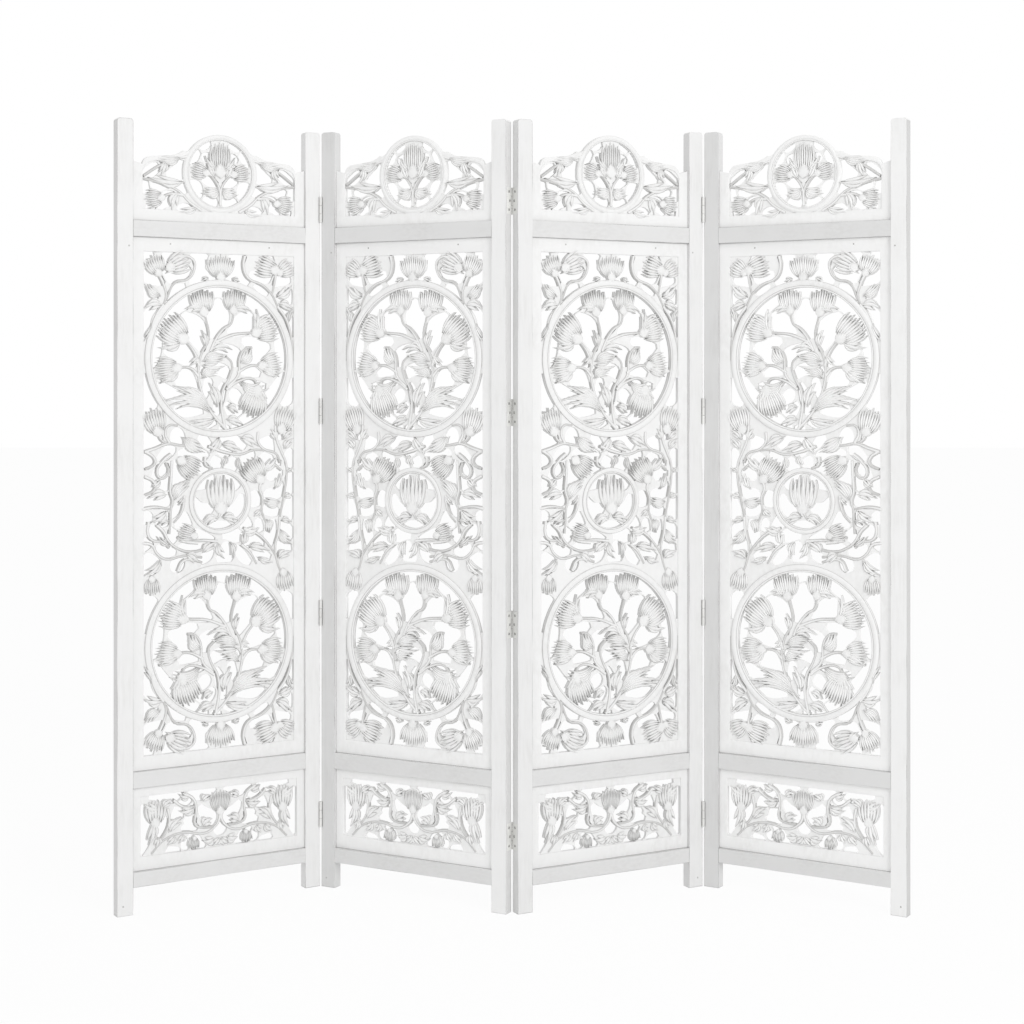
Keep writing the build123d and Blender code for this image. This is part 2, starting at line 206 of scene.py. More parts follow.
VINE_OPENINGS = [
    [(66, 1108), (92, 1107), (107, 1090), (90, 1075), (66, 1070)],
    [(137, 1084), (136, 1104), (148, 1112), (158, 1098), (155, 1084)],
    [(102, 1046), (125, 1074), (138, 1066), (118, 1048)],
    [(150, 1056), (180, 1065), (218, 1055), (205, 1040), (198, 1054)],
    [(66, 1056), (84, 1044), (80, 1032), (66, 1028)],
    [(90, 1003), (102, 1030), (120, 1028), (105, 1008)],
    [(138, 1036), (146, 1030), (146, 1003), (165, 998), (142, 982)],
    [(66, 1001), (84, 988), (84, 976), (66, 972)],
    [(102, 988), (123, 1000), (122, 976)],
    [(66, 950), (66, 938), (125, 938), (130, 965), (120, 957)],
    [(133, 912), (140, 925), (152, 940), (148, 925)],
    [(66, 902), (66, 918), (80, 916), (78, 903)],
    [(100, 893), (104, 912), (122, 917), (121, 895)],
    [(140, 884), (163, 915), (175, 890), (158, 893)],
    [(84, 885), (95, 888), (113, 864), (92, 862)],
    [(126, 850), (130, 882), (142, 880), (140, 858)],
    [(66, 838), (68, 858), (82, 852)],
    [(100, 838), (112, 842), (140, 826), (112, 820)],
    [(152, 835), (165, 842), (208, 836), (180, 831)],
    [(66, 820), (82, 820), (103, 802), (85, 783), (66, 782)],
    [(134, 790), (142, 812), (158, 806), (152, 786)],
    [(190, 873), (205, 868), (233, 852), (215, 856)],
    [(202, 802), (213, 818), (230, 826), (222, 808)],
    [(247, 806), (258, 815), (263, 840), (272, 842), (270, 820), (278, 806)],
    [(262, 859), (292, 871), (304, 862), (300, 848)],
    [(291, 830), (300, 828), (325, 795), (305, 803)],
    [(314, 838), (340, 858), (360, 838)],
    [(335, 812), (350, 805), (375, 805), (365, 813)],
    [(366, 855), (385, 890), (388, 865), (378, 835)],
    [(395, 810), (400, 838), (412, 822), (430, 825), (405, 815)],
    [(405, 865), (408, 885), (430, 875), (431, 850)],
    [(343, 888), (350, 892), (355, 870)],
    [(306, 882), (316, 900), (327, 882)],
    [(364, 920), (368, 925), (395, 918), (395, 908), (372, 912)],
    [(413, 905), (428, 943), (432, 943), (432, 897)],
    [(329, 932), (329, 957), (348, 956), (351, 934)],
    [(366, 948), (372, 962), (390, 958), (402, 980), (408, 978), (405, 950)],
    [(375, 1000), (390, 1012), (405, 1005), (382, 993)],
    [(423, 962), (423, 998), (432, 1002), (432, 958)],
    [(352, 1040), (365, 1048), (378, 1046), (380, 1032), (402, 1030), (362, 1027)],
    [(356, 1080), (378, 1088), (382, 1060), (362, 1070)],
    [(421, 1024), (423, 1055), (432, 1057), (432, 1022)],
    [(330, 1057), (333, 1045), (315, 1042), (313, 1024), (318, 994), (303, 1010), (306, 1040)],
    [(265, 1027), (286, 1040), (289, 1018)],
    [(234, 1043), (250, 1042), (248, 1025), (236, 1022)],
    [(200, 1022), (205, 1035), (220, 1020), (205, 1015)],
    [(202, 1093), (212, 1095), (230, 1067), (222, 1070)],
    [(246, 1085), (280, 1090), (298, 1088), (312, 1070), (285, 1080)],
    [(250, 1055), (262, 1067), (276, 1064), (268, 1052)],
    [(396, 1092), (404, 1113), (425, 1112), (414, 1094)],
]
LOWER_OPENINGS = [
    [(57, 242), (57, 137), (76, 165), (72, 205), (64, 235)],
    [(80, 264), (100, 262), (125, 250), (150, 254), (156, 265)],
    [(176, 266), (192, 256), (202, 247), (222, 256), (238, 266)],
    [(90, 208), (105, 214), (118, 205), (110, 175), (103, 175), (105, 192)],
    [(135, 205), (145, 230), (157, 213)],
    [(168, 200), (187, 202), (182, 188), (192, 180), (160, 180), (174, 188)],
    [(203, 226), (215, 213), (238, 206), (234, 186), (225, 184), (226, 197), (210, 205)],
    [(178, 161), (195, 155), (203, 140), (210, 132), (185, 131)],
    [(124, 136), (130, 130), (152, 130)],
    [(160, 138), (164, 150), (172, 148), (170, 137)],
    [(152, 238), (160, 248), (178, 250), (172, 240)],
    [(170, 218), (186, 230), (186, 216)],
]
LOWER_MIDDLE_OPENING = [(241, 170), (252, 182), (263, 170), (252, 160)]
CREST_OPENINGS = [
    [(63, 1703), (85, 1722), (99, 1729), (98, 1718), (80, 1703)],
    [(124, 1707), (142, 1718), (155, 1738), (155, 1701)],
    [(62, 1687), (78, 1682), (72, 1668), (62, 1668)],
    [(80, 1681), (120, 1680), (97, 1674)],
    [(140, 1684), (160, 1686), (163, 1668)],
    [(113, 1662), (135, 1660), (128, 1640), (113, 1638), (105, 1627)],
    [(150, 1626), (163, 1636), (187, 1625)],
    [(74, 1629), (84, 1632), (90, 1627)],
    [(104, 1731), (113, 1737), (121, 1730), (111, 1727)],
]
CREST_RING_OPENINGS = [
    [(203, 1777), (214, 1786), (224, 1785), (212, 1776)],
    [(211, 1754), (224, 1757), (229, 1745), (218, 1744)],
    [(215, 1735), (226, 1730), (231, 1720), (219, 1724)],
    [(212, 1700), (222, 1706), (241, 1690), (228, 1690)],
    [(181, 1690), (200, 1690), (203, 1661), (189, 1670)],
    [(213, 1652), (236, 1655), (241, 1645), (226, 1642)],
    [(179, 1741), (190, 1762), (200, 1762), (188, 1745)],
]

# Carved forms. A flower is its base, its tip, its spread in degrees and its petals; a leaf is
# its base, its tip, its half width and the bow of its middle line; a stem is its points.

MEDALLION_FLOWERS = [
    ((213, 1382), (203, 1444), 52, 11),
    ((286, 1388), (292, 1446), 52, 11),
    ((168, 1320), (108, 1368), 50, 11),
    ((152, 1257), (88, 1250), 46, 11),
    ((338, 1340), (404, 1362), 48, 11),
    ((354, 1262), (414, 1268), 50, 10),
    ((350, 1210), (326, 1138), 48, 12),
]
MEDALLION_STEMS = [
    [(268, 1112), (234, 1148), (207, 1198), (198, 1255), (206, 1290), (224, 1325), (214, 1384)],
    [(264, 1118), (256, 1165), (260, 1205), (276, 1235), (282, 1268), (268, 1284)],
    [(272, 1212), (298, 1240), (303, 1284), (318, 1304), (334, 1306)],
    [(228, 1296), (240, 1322), (262, 1350), (280, 1362), (286, 1392)],
    [(240, 1318), (286, 1336), (320, 1340), (342, 1342)],
    [(200, 1262), (190, 1290), (176, 1310), (164, 1322)],
    [(198, 1238), (180, 1256), (150, 1258)],
    [(296, 1246), (328, 1262), (356, 1263)],
    [(268, 1206), (300, 1226), (338, 1230), (350, 1210)],
]
MEDALLION_LEAVES = [
    ((226, 1296), (284, 1300), 8, 12),
    ((206, 1272), (272, 1288), 11, 4),
    ((206, 1264), (266, 1262), 8, -6),
    ((300, 1268), (332, 1308), 12, -8),
    ((204, 1232), (250, 1250), 10, 8),
    ((246, 1164), (226, 1222), 9, -6),
    ((232, 1160), (134, 1216), 12, -9),
    ((240, 1152), (104, 1178), 12, -18),
    ((246, 1138), (160, 1124), 8, 6),
    ((300, 1226), (378, 1208), 12, -14),
    ((266, 1136), (312, 1122), 8, 5),
    ((270, 1166), (298, 1150), 7, 5),
    ((216, 1306), (207, 1346), 6, -4),
    ((196, 1286), (178, 1262), 6, 4),
    ((158, 1316), (100, 1304), 8, 6),
    ((214, 1392), (166, 1394), 8, -8),
    ((284, 1396), (332, 1392), 8, 8),
    ((338, 1338), (346, 1398), 7, -6),
    ((352, 1258), (404, 1236), 8, 6),
    ((152, 1254), (104, 1220), 8, 4),
    ((352, 1212), (374, 1168), 8, -6),
]
END_FLOWERS = [
    ((252, 1466), (252, 1526), 76, 13),
    ((102, 1472), (82, 1518), 50, 9),
    ((122, 1488), (178, 1514), 34, 7),
    ((396, 1490), (336, 1508), 34, 8),
    ((398, 1484), (438, 1508), 44, 7),
]
END_STEMS = [
    [(124, 1500), (148, 1516), (184, 1510), (186, 1486), (170, 1464), (140, 1456), (118, 1414)],
    [(100, 1476), (112, 1450), (118, 1425), (112, 1404)],
    [(112, 1404), (94, 1378), (79, 1335), (72, 1300), (69, 1262)],
    [(313, 1524), (309, 1500), (320, 1472), (356, 1456), (378, 1438), (396, 1406)],
    [(393, 1500), (390, 1470), (382, 1434)],
    [(396, 1406), (420, 1372), (433, 1320), (436, 1276)],
]
END_LEAVES = [
    ((106, 1422), (66, 1450), 10, 5),
    ((110, 1402), (64, 1394), 9, -6),
    ((392, 1426), (434, 1458), 9, -6),
    ((398, 1412), (436, 1398), 8, 5),
    ((84, 1356), (64, 1318), 5, 3),
    ((136, 1500), (118, 1476), 6, 4),
    ((424, 1366), (436, 1404), 5, 3),
    ((222, 1470), (206, 1462), 5, 0),
    ((282, 1470), (300, 1462), 5, 0),
]
ROSETTE_FLOWERS = [((253, 914), (251, 1004), 24, 7), ((253, 916), (252, 974), 66, 12)]
ROSETTE_STEMS = [[(251, 926), (248, 906), (240, 894)], [(240, 894), (222, 902), (206, 886)]]
ROSETTE_LEAVES = [((246, 900), (206, 884), 8, -6), ((254, 900), (300, 890), 8, 6)]
VINE_FLOWERS = [
    ((100, 1102), (82, 1164), 36, 9),
    ((404, 1104), (424, 1166), 36, 9),
    ((150, 1044), (200, 1008), 42, 11),
    ((356, 986), (318, 1040), 50, 12),
    ((192, 862), (146, 876), 44, 9),
    ((84, 772), (84, 728), 40, 8),
    ((410, 772), (418, 720), 36, 8),
]
VINE_STEMS = [
    [(66, 1062), (92, 1070), (122, 1080), (152, 1076), (186, 1072)],
    [(100, 1104), (106, 1090), (122, 1080)],
    [(126, 1082), (116, 1104), (124, 1122), (146, 1122)],
    [(68, 1064), (90, 1046), (90, 1034), (68, 1022)],
    [(130, 1056), (112, 1042), (96, 1014), (108, 1000), (124, 1016), (118, 1036)],
    [(66, 1006), (90, 990), (90, 974), (68, 962)],
    [(132, 1040), (130, 1000), (128, 968), (134, 946), (130, 930), (128, 896), (126, 870)],
    [(60, 930), (92, 934), (126, 928)],
    [(162, 958), (160, 936), (152, 914), (136, 896)],
    [(76, 900), (74, 872), (84, 858), (110, 852), (126, 838)],
    [(96, 892), (112, 876), (124, 854), (142, 838), (180, 826), (236, 838)],
    [(60, 852), (84, 846), (96, 826), (118, 812), (160, 818), (206, 812)],
    [(196, 846), (160, 852), (146, 862)],
    [(244, 848), (200, 852), (176, 850)],
    [(390, 1120), (394, 1086), (406, 1056), (418, 1028), (419, 990), (412, 950), (402, 900)],
    [(402, 900), (398, 860), (390, 830), (396, 790), (406, 764)],
    [(346, 1104), (346, 1082), (360, 1064), (392, 1052), (404, 1030)],
    [(362, 1020), (386, 1026), (406, 1012)],
    [(356, 990), (350, 970), (358, 946), (356, 914), (366, 888)],
    [(304, 838), (326, 818), (342, 790)],
    [(310, 876), (344, 862), (372, 836), (396, 800)],
    [(214, 1048), (214, 1030), (232, 1020)],
    [(222, 1072), (262, 1058), (300, 1052), (336, 1062), (362, 1060)],
    [(146, 782), (160, 806), (186, 806), (206, 800)],
]
VINE_LEAVES = [
    ((156, 1096), (214, 1058), 13, -4),
    ((250, 1094), (224, 1056), 8, 4),
    ((300, 1094), (348, 1070), 9, 4),
    ((252, 1078), (306, 1060), 8, 4),
    ((410, 1086), (436, 1108), 7, 3),
    ((412, 1062), (436, 1088), 7, 3),
    ((392, 1084), (378, 1112), 7, -3),
    ((122, 962), (74, 954), 9, -5),
    ((134, 946), (176, 998), 12, 7),
    ((128, 900), (98, 892), 5, -4),
    ((120, 924), (82, 900), 8, 6),
    ((128, 842), (96, 866), 5, 3),
    ((106, 812), (64, 776), 7, 8),
    ((166, 822), (196, 800), 8, 4),
    ((206, 822), (242, 846), 8, 4),
    ((244, 846), (262, 806), 7, -5),
    ((276, 846), (284, 806), 6, 6),
    ((306, 866), (350, 876), 8, -4),
    ((306, 836), (312, 872), 7, -4),
    ((320, 834), (376, 820), 8, 3),
    ((346, 806), (384, 792), 6, -3),
    ((400, 872), (434, 832), 10, -5),
    ((396, 800), (434, 816), 8, 5),
    ((404, 892), (434, 886), 6, 4),
    ((404, 936), (356, 938), 11, 4),
    ((368, 896), (376, 862), 10, 4),
    ((388, 966), (404, 1004), 6, -3),
    ((356, 1012), (396, 1046), 8, -5),
    ((418, 1006), (436, 1016), 5, 2),
    ((412, 948), (436, 950), 6, 2),
    ((296, 1046), (306, 1010), 5, -3),
    ((266, 1050), (256, 1022), 5, 3),
    ((352, 920), (334, 904), 6, 3),
    ((160, 956), (148, 936), 5, 3),
    ((84, 980), (106, 1000), 6, -3),
]
LOWER_FLOWERS = [
    ((252, 206), (252, 262), 48, 13),
    ((92, 196), (92, 258), 30, 7),
    ((188, 158), (184, 128), 50, 8),
]
LOWER_STEMS = [
    [(252, 210), (248, 190), (240, 178), (214, 164), (160, 172), (112, 160), (82, 132)],
    [(122, 232), (126, 204), (116, 176), (92, 150)],
    [(164, 262), (186, 246), (192, 220), (190, 186), (206, 178), (232, 176)],
    [(136, 250), (160, 232), (188, 228)],
]
LOWER_LEAVES = [
    ((100, 232), (64, 250), 9, 5),
    ((108, 236), (134, 252), 7, 3),
    ((88, 206), (76, 152), 9, 5),
    ((98, 170), (92, 146), 7, 3),
    ((206, 182), (232, 196), 9, 4),
    ((124, 176), (158, 208), 9, 6),
    ((140, 168), (120, 148), 7, 3),
    ((186, 226), (150, 222), 8, 5),
    ((206, 240), (226, 252), 7, 3),
    ((160, 168), (148, 148), 7, 3),
    ((236, 150), (208, 146), 9, 5),
    ((250, 150), (232, 132), 7, 3),
    ((176, 252), (150, 262), 7, 3),
]
CREST_FLOWERS = [((252, 1712), (252, 1792), 15, 10)]
CREST_SIDE_FLOWERS = [
    ((222, 1714), (176, 1724), 36, 8),
    ((112, 1652), (64, 1646), 44, 9),
]
CREST_STEMS = [
    [(252, 1640), (250, 1678), (238, 1700), (222, 1716)],
    [(205, 1626), (176, 1644), (150, 1668), (104, 1686), (62, 1694)],
    [(158, 1660), (130, 1662), (110, 1654)],
    [(170, 1752), (150, 1746), (106, 1728), (64, 1700)],
]
CREST_LEAVES = [
    ((250, 1680), (206, 1668), 12, 7),
    ((240, 1704), (222, 1742), 7, 4),
    ((244, 1722), (214, 1756), 6, 4),
    ((166, 1690), (74, 1698), 9, 6),
    ((156, 1748), (92, 1738), 10, 5),
    ((148, 1666), (132, 1624), 9, -5),
    ((116, 1738), (104, 1702), 7, 3),
    ((196, 1634), (146, 1620), 7, 4),
]


# Drawing helpers: plain geometry in millimetres, seen from the front


def moved(points, drawn_at, onto=(0.0, 0.0), flip_x=1, flip_y=1, stretch=1.0):
    """Return points drawn about one place on the panel, laid about a place on the board."""
    return [
        (onto[0] + flip_x * stretch * (x - drawn_at[0]), onto[1] + flip_y * (y - drawn_at[1]))
        for x, y in points
    ]


def signed_area(points):
    """Return the area inside a loop, positive where it runs counterclockwise."""
    x, y = np.array(points).T
    return 0.5 * float(np.sum(x * np.roll(y, -1) - np.roll(x, -1) * y))


def softened(corners, passes=2, sharp_below=80.0):
    """Round a loop's wide corners, as a chisel does, and keep its pointed ones."""
    points = [np.array(corner, dtype=float) for corner in corners]
    marks = []
    for index, corner in enumerate(points):
        back = points[index - 1] - corner
        ahead = points[(index + 1) % len(points)] - corner
        cosine = back.dot(ahead) / (np.linalg.norm(back) * np.linalg.norm(ahead) + 1e-9)
        marks.append(math.degrees(math.acos(max(-1.0, min(1.0, cosine)))) < sharp_below)
    for _ in range(passes):
        rounder, kept = [], []
        for index, point in enumerate(points):
            back, ahead = points[index - 1], points[(index + 1) % len(points)]
            if marks[index]:
                rounder.append(point)
                kept.append(True)
                continue
            rounder += [point * 0.75 + back * 0.25, point * 0.75 + ahead * 0.25]
            kept += [False, False]
        points, marks = rounder, kept
    blunt = []
    for index, point in enumerate(points):
        if marks[index]:
            for towards in (points[index - 1], points[(index + 1) % len(points)]):
                way = towards - point
                blunt.append(point + way * min(0.4, CHISEL_POINT / (np.linalg.norm(way) + 1e-9)))
        else:
            blunt.append(point)
    return [tuple(point) for point in blunt]


def divided(loop, longest):
    """Return a loop with points added along its long sides."""
    points = []
    for start, end in zip(loop, np.roll(loop, -1, axis=0)):
        parts = max(1, math.ceil(np.linalg.norm(end - start) / longest))
        points += [start + (end - start) * part / parts for part in range(parts)]
    return np.array(points)


def room_round(points, loops):
    """Return each point's distance from the nearest side of some loops."""
    starts = np.vstack(loops)
    along = np.vstack([np.roll(loop, -1, axis=0) for loop in loops]) - starts
    share = ((points[:, None] - starts) * along).sum(axis=2) / ((along**2).sum(axis=1) + 1e-9)
    nearest = starts + np.clip(share, 0.0, 1.0)[:, :, None] * along
    return np.sqrt(((points[:, None] - nearest) ** 2).sum(axis=2)).min(axis=1)


def widened(loops, reach, wall, limits, edge):
    """Cut openings wider by a reach, but leave a wall to their neighbours and to an outer edge."""
    loops = [loop if signed_area(loop) > 0 else loop[::-1] for loop in loops]
    loops = [divided(np.array(loop, dtype=float), LONGEST_SIDE) for loop in loops]
    for _ in range(WIDENING_STEPS):
        wider = []
        for number, loop in enumerate(loops):
            others = [*loops[:number], *loops[number + 1:], np.array(edge, dtype=float)]
            back, ahead = np.roll(loop, 1, axis=0), np.roll(loop, -1, axis=0)
            outward = np.column_stack([(ahead - back)[:, 1], -(ahead - back)[:, 0]])
            outward /= np.linalg.norm(outward, axis=1)[:, None] + 1e-9
            shift = np.clip((room_round(loop, others) - wall) / 2, 0.0, reach / WIDENING_STEPS)
            grown = loop + outward * shift[:, None]
            into, out = loop - back, ahead - loop
            dented = into[:, 0] * out[:, 1] - into[:, 1] * out[:, 0] < 0
            eased_in = (np.roll(grown, 1, axis=0) + 2 * grown + np.roll(grown, -1, axis=0)) / 4
            grown[dented] = eased_in[dented]
            wider.append(np.clip(grown, *limits))
        loops = wider
    return [[tuple(point) for point in loop] for loop in loops]


def crescent(centre, radius, start, end, depth, side=1, steps=9):
    """Return the loop between a ring's inner edge and an arc that bows towards it."""
    outer, inner = [], []
    for step in range(steps + 1):
        share = step / steps
        angle = math.radians(start + (end - start) * share)
        reach = radius * (1 - depth * math.sin(math.pi * share) ** 0.7)
        for line, distance in ((outer, radius), (inner, reach)):
            across, up = distance * math.cos(angle), distance * math.sin(angle)
            line.append((centre[0] + side * across, centre[1] + up))
    return outer + inner[-2:0:-1]


# Modelling helpers


def pick(*objects):
    """Select some objects alone, and make the last one active."""
    bpy.ops.object.select_all(action="DESELECT")
    for picked in objects:
        picked.select_set(True)
    bpy.context.view_layer.objects.active = objects[-1]


def pick_points(made, numbers):
    """In edit mode, select only the numbered points."""
    bpy.ops.object.mode_set(mode="OBJECT")
    chosen = set(numbers)
    made.data.polygons.foreach_set("select", [False] * len(made.data.polygons))
    made.data.edges.foreach_set("select", [False] * len(made.data.edges))
    for point in made.data.vertices:
        point.select = point.index in chosen
    bpy.ops.object.mode_set(mode="EDIT")


def close_with_same_back(made):
    """Draw a front's outer edge back to the middle of the board, and mirror it behind."""
    pick(made)
    bpy.ops.object.mode_set(mode="EDIT")
    bpy.ops.mesh.select_mode(type="VERT")
    bpy.ops.mesh.select_all(action="SELECT")
    bpy.ops.mesh.region_to_loop()
    bpy.ops.mesh.extrude_region_move()
    bpy.ops.transform.resize(value=(1, 1, 0), center_override=(0, 0, 0))
    bpy.ops.object.mode_set(mode="OBJECT")
    mirror_behind(made)


def mirror_behind(made):
    """Mirror a front behind itself, and close the seam."""
    mirror = made.modifiers.new("Same back", "MIRROR")
    mirror.use_axis = (False, False, True)
    bpy.ops.object.modifier_apply(modifier=mirror.name)
    bpy.ops.object.mode_set(mode="EDIT")
    bpy.ops.mesh.select_all(action="SELECT")
    bpy.ops.mesh.remove_doubles(threshold=1e-5)
    bpy.ops.mesh.normals_make_consistent(inside=False)
    bpy.ops.object.mode_set(mode="OBJECT")


def carved_master(name, widths, columns):
    """Model a long form once: two units long and wide, with its heights in millimetres.

    widths are its rows' half widths. Each column is its place across and its height over the
    board's face.
    """
    rows, across = len(widths), len(columns)
    bpy.ops.object.select_all(action="DESELECT")
    bpy.ops.mesh.primitive_grid_add(x_subdivisions=across - 1, y_subdivisions=rows - 1, size=2)
    made = bpy.context.object
    made.name = name
    row_of = [round((point.co.y + 1) * (rows - 1) / 2) for point in made.data.vertices]
    column_of = [round((point.co.x + 1) * (across - 1) / 2) for point in made.data.vertices]
    bpy.ops.object.mode_set(mode="EDIT")
    bpy.ops.mesh.select_mode(type="VERT")
    for column, (place, height) in enumerate(columns):
        shift = place - (2 * column / (across - 1) - 1)
        pick_points(made, [i for i in range(len(row_of)) if column_of[i] == column])
        bpy.ops.transform.translate(value=(shift, 0, BOARD_HALF_THICKNESS + height))
    for row, width in enumerate(widths):
        pick_points(made, [i for i in range(len(row_of)) if row_of[i] == row])
        bpy.ops.transform.resize(value=(width, 1, 1), center_override=(0, 0, 0))
    bpy.ops.object.mode_set(mode="OBJECT")
    close_with_same_back(made)
    return made


def petal_master():
    """Model a petal: a slim blade pointed at both ends, ridged along its length."""
    rows = 6
    widths = []
    for row in range(rows):
        share = row / (rows - 1)
        widths.append(math.sin(math.pi * share**0.95) ** 0.75 + 0.08)
    return carved_master("petal master", widths, [(-1, -0.6), (0, 1.1), (1, -0.6)])


class Forms:
    """The carved forms of one board, all laid from the petal, in millimetres."""

    def __init__(self, petal):
        self.petal = petal
        self.points, self.faces, self.count = [], [], 0

    def lay(self, start, end, half_width, bow=0.0, lift=0.0):
        """Copy the petal from start to end, bowed to its left and lifted at its middle."""
        places, faces = self.petal
        start, end = np.array(start, dtype=float), np.array(end, dtype=float)
        along = end - start
        left = np.array((-along[1], along[0])) / (np.linalg.norm(along) + 1e-9)
        across, share = places[:, 0:1] * half_width, (places[:, 1:2] + 1) / 2
        heading = along + left * bow * 4 * (1 - 2 * share)
        heading /= np.linalg.norm(heading, axis=1)[:, None]
        line = start + along * share + left * bow * 4 * share * (1 - share)
        flat = line - np.column_stack([-heading[:, 1], heading[:, 0]]) * across
        arch = np.sin(math.pi * share[:, 0] ** 0.8)
        height = places[:, 2] * (1 + lift / BOARD_HALF_THICKNESS * arch)
        self.points.append(np.column_stack([flat, height]))
        self.faces += [[number + self.count for number in face] for face in faces]
        self.count += len(places)

    def leaf(self, base, tip, half_width, bow):
        """Lay one leaf: long blades side by side, which part towards their tips as flames do."""
        base, tip = np.array(base, dtype=float), np.array(tip, dtype=float)
        along = tip - base
        left = np.array((-along[1], along[0])) / np.linalg.norm(along)
        blades = 5 if half_width > WIDE_LEAF else 3
        for index in range(blades):
            side = 2 * index / (blades - 1) - 1
            foot = base + along * 0.1 * abs(side) + left * 0.2 * half_width * side
            length = 1.0 - 0.26 * abs(side) - 0.05 * side
            end = base + along * length + left * 0.8 * half_width * side
            parted = bow + 0.4 * half_width * side
            self.lay(foot, end, 1.3 * half_width / blades, parted, 0.9 - 0.5 * abs(side))

    def flower(self, base, tip, spread, petals):
        """Lay a fan of petals, every other one shorter and higher, over a small cup."""
        base, tip = np.array(base, dtype=float), np.array(tip, dtype=float)
        reach = np.linalg.norm(tip - base)
        heading = math.atan2(tip[1] - base[1], tip[0] - base[0])
        beside = np.array((math.sin(heading), -math.cos(heading)))
        lean = math.radians(spread) * PETAL_LEAN
        half_width = 1.05 * reach * (CUP_HALF_WIDTH + 0.8 * math.sin(lean)) / petals
        for index in range(petals):
            fan = 2 * index / (petals - 1) - 1
            angle = heading - lean * fan
            ray = np.array((math.cos(angle), math.sin(angle)))
            foot = base + CUP_HALF_WIDTH * reach * fan * beside + 0.1 * reach * ray
            length = reach * (0.9 - 0.14 * abs(fan) - 0.07 * (index % 2))
            lift = 0.7 - 0.5 * abs(fan) + 0.4 * (index % 2)
            self.lay(foot, foot + length * ray, half_width, -0.09 * length * fan, lift)
        ahead = np.array((math.cos(heading), math.sin(heading)))
        low, high = base - 0.1 * reach * ahead, base + 0.34 * reach * ahead
        self.lay(low, high, 0.17 * reach, 0.0, 0.9)

    def carved(self, name):
        """Return the laid forms as one object."""
        mesh = bpy.data.meshes.new(name)
        mesh.from_pydata((np.vstack(self.points) * MM).tolist(), [], self.faces)
        made = bpy.data.objects.new(name, mesh)
        bpy.context.collection.objects.link(made)
        return made


def stems_of(name, lines, half_width=4.0):
    """Return all a board's stems, each a rounded rod through the board that thins to its ends."""
    curve = bpy.data.curves.new(name, "CURVE")
    curve.dimensions = "3D"
    curve.twist_mode = "Z_UP"
    curve.extrude = (BOARD_HALF_THICKNESS + 1.2 - half_width) * MM
    curve.bevel_depth = half_width * MM
    curve.bevel_resolution = 1
    curve.resolution_u = 4
    curve.use_fill_caps = True
    for line in lines:
        spline = curve.splines.new("BEZIER")
        spline.bezier_points.add(len(line) - 1)
        for index, (point, (x, y)) in enumerate(zip(spline.bezier_points, line)):
            point.co = (x * MM, y * MM, 0)
            point.handle_left_type = point.handle_right_type = "AUTO"
            point.radius = 1.0 - 0.2 * index / (len(line) - 1)
    made = bpy.data.objects.new(name, curve)
    bpy.context.collection.objects.link(made)
    pick(made)
    bpy.ops.object.convert(target="MESH")
    return bpy.context.object


def pierced_plate(name, outline, openings, half_thickness, rounding=1.0):
    """Return a plate with openings: a flat outline filled, thickened and rounded at its edges."""
    curve = bpy.data.curves.new(name, "CURVE")
    curve.dimensions = "2D"
    curve.fill_mode = "BOTH"
    curve.extrude = (half_thickness - rounding) * MM
    curve.bevel_depth = rounding * MM
    curve.bevel_resolution = 1
    curve.offset = -rounding * MM
    for loop in [outline, *openings]:
        spline = curve.splines.new("POLY")
        spline.points.add(len(loop) - 1)
        for point, (x, y) in zip(spline.points, loop):
            point.co = (x * MM, y * MM, 0, 1)
        spline.use_cyclic_u = True
    made = bpy.data.objects.new(name, curve)
    bpy.context.collection.objects.link(made)
    pick(made)
    bpy.ops.object.convert(target="MESH")
    return bpy.context.object


def carved_ring(name, centre, outer, inner, groove):
    """Return a flat ring with rounded edges and a groove near its inner edge."""
    edge = [(outer, -0.5), (outer - 1.4, 0.8), (inner + groove + 1.5, 1.1), (inner + groove, -0.4)]
    edge += [(inner + groove - 1.5, 1.1), (inner + 1.4, 0.8), (inner, -0.5)]
    steps = max(64, round(outer * 0.6))
    x, y = centre
    bpy.ops.object.select_all(action="DESELECT")
    bpy.ops.mesh.primitive_circle_add(
        vertices=steps, radius=outer, location=(x, y, 0), fill_type="NOTHING"
    )
    made = bpy.context.object
    made.name = name
    bpy.ops.object.transform_apply(location=True)
    bpy.ops.object.mode_set(mode="EDIT")
    bpy.ops.mesh.select_mode(type="VERT")
    bpy.ops.mesh.select_all(action="SELECT")
    radius, height = outer, 0.0
    for next_radius, rise in [*edge, (inner, -BOARD_HALF_THICKNESS)]:
        level = BOARD_HALF_THICKNESS + rise
        bpy.ops.mesh.extrude_region_move(TRANSFORM_OT_translate={"value": (0, 0, level - height)})
        ratio = next_radius / radius
        bpy.ops.transform.resize(value=(ratio, ratio, 1), center_override=(x, y, 0))
        radius, height = next_radius, level
    bpy.ops.object.mode_set(mode="OBJECT")
    mirror_behind(made)
    bpy.ops.transform.resize(value=(MM, MM, MM), center_override=(0, 0, 0))
    bpy.ops.object.transform_apply(location=True, scale=True)
    return made


def box_outline(left, low, right, high):
    """Return a plain four-cornered outline."""
    return [(left, low), (right, low), (right, high), (left, high)]


def petal_shape():
    """Model the petal, and return its points and faces."""
    made = petal_master()
    places = np.array([point.co[:] for point in made.data.vertices])
    faces = [list(face.vertices) for face in made.data.polygons]
    bpy.data.objects.remove(made)
    return places, faces


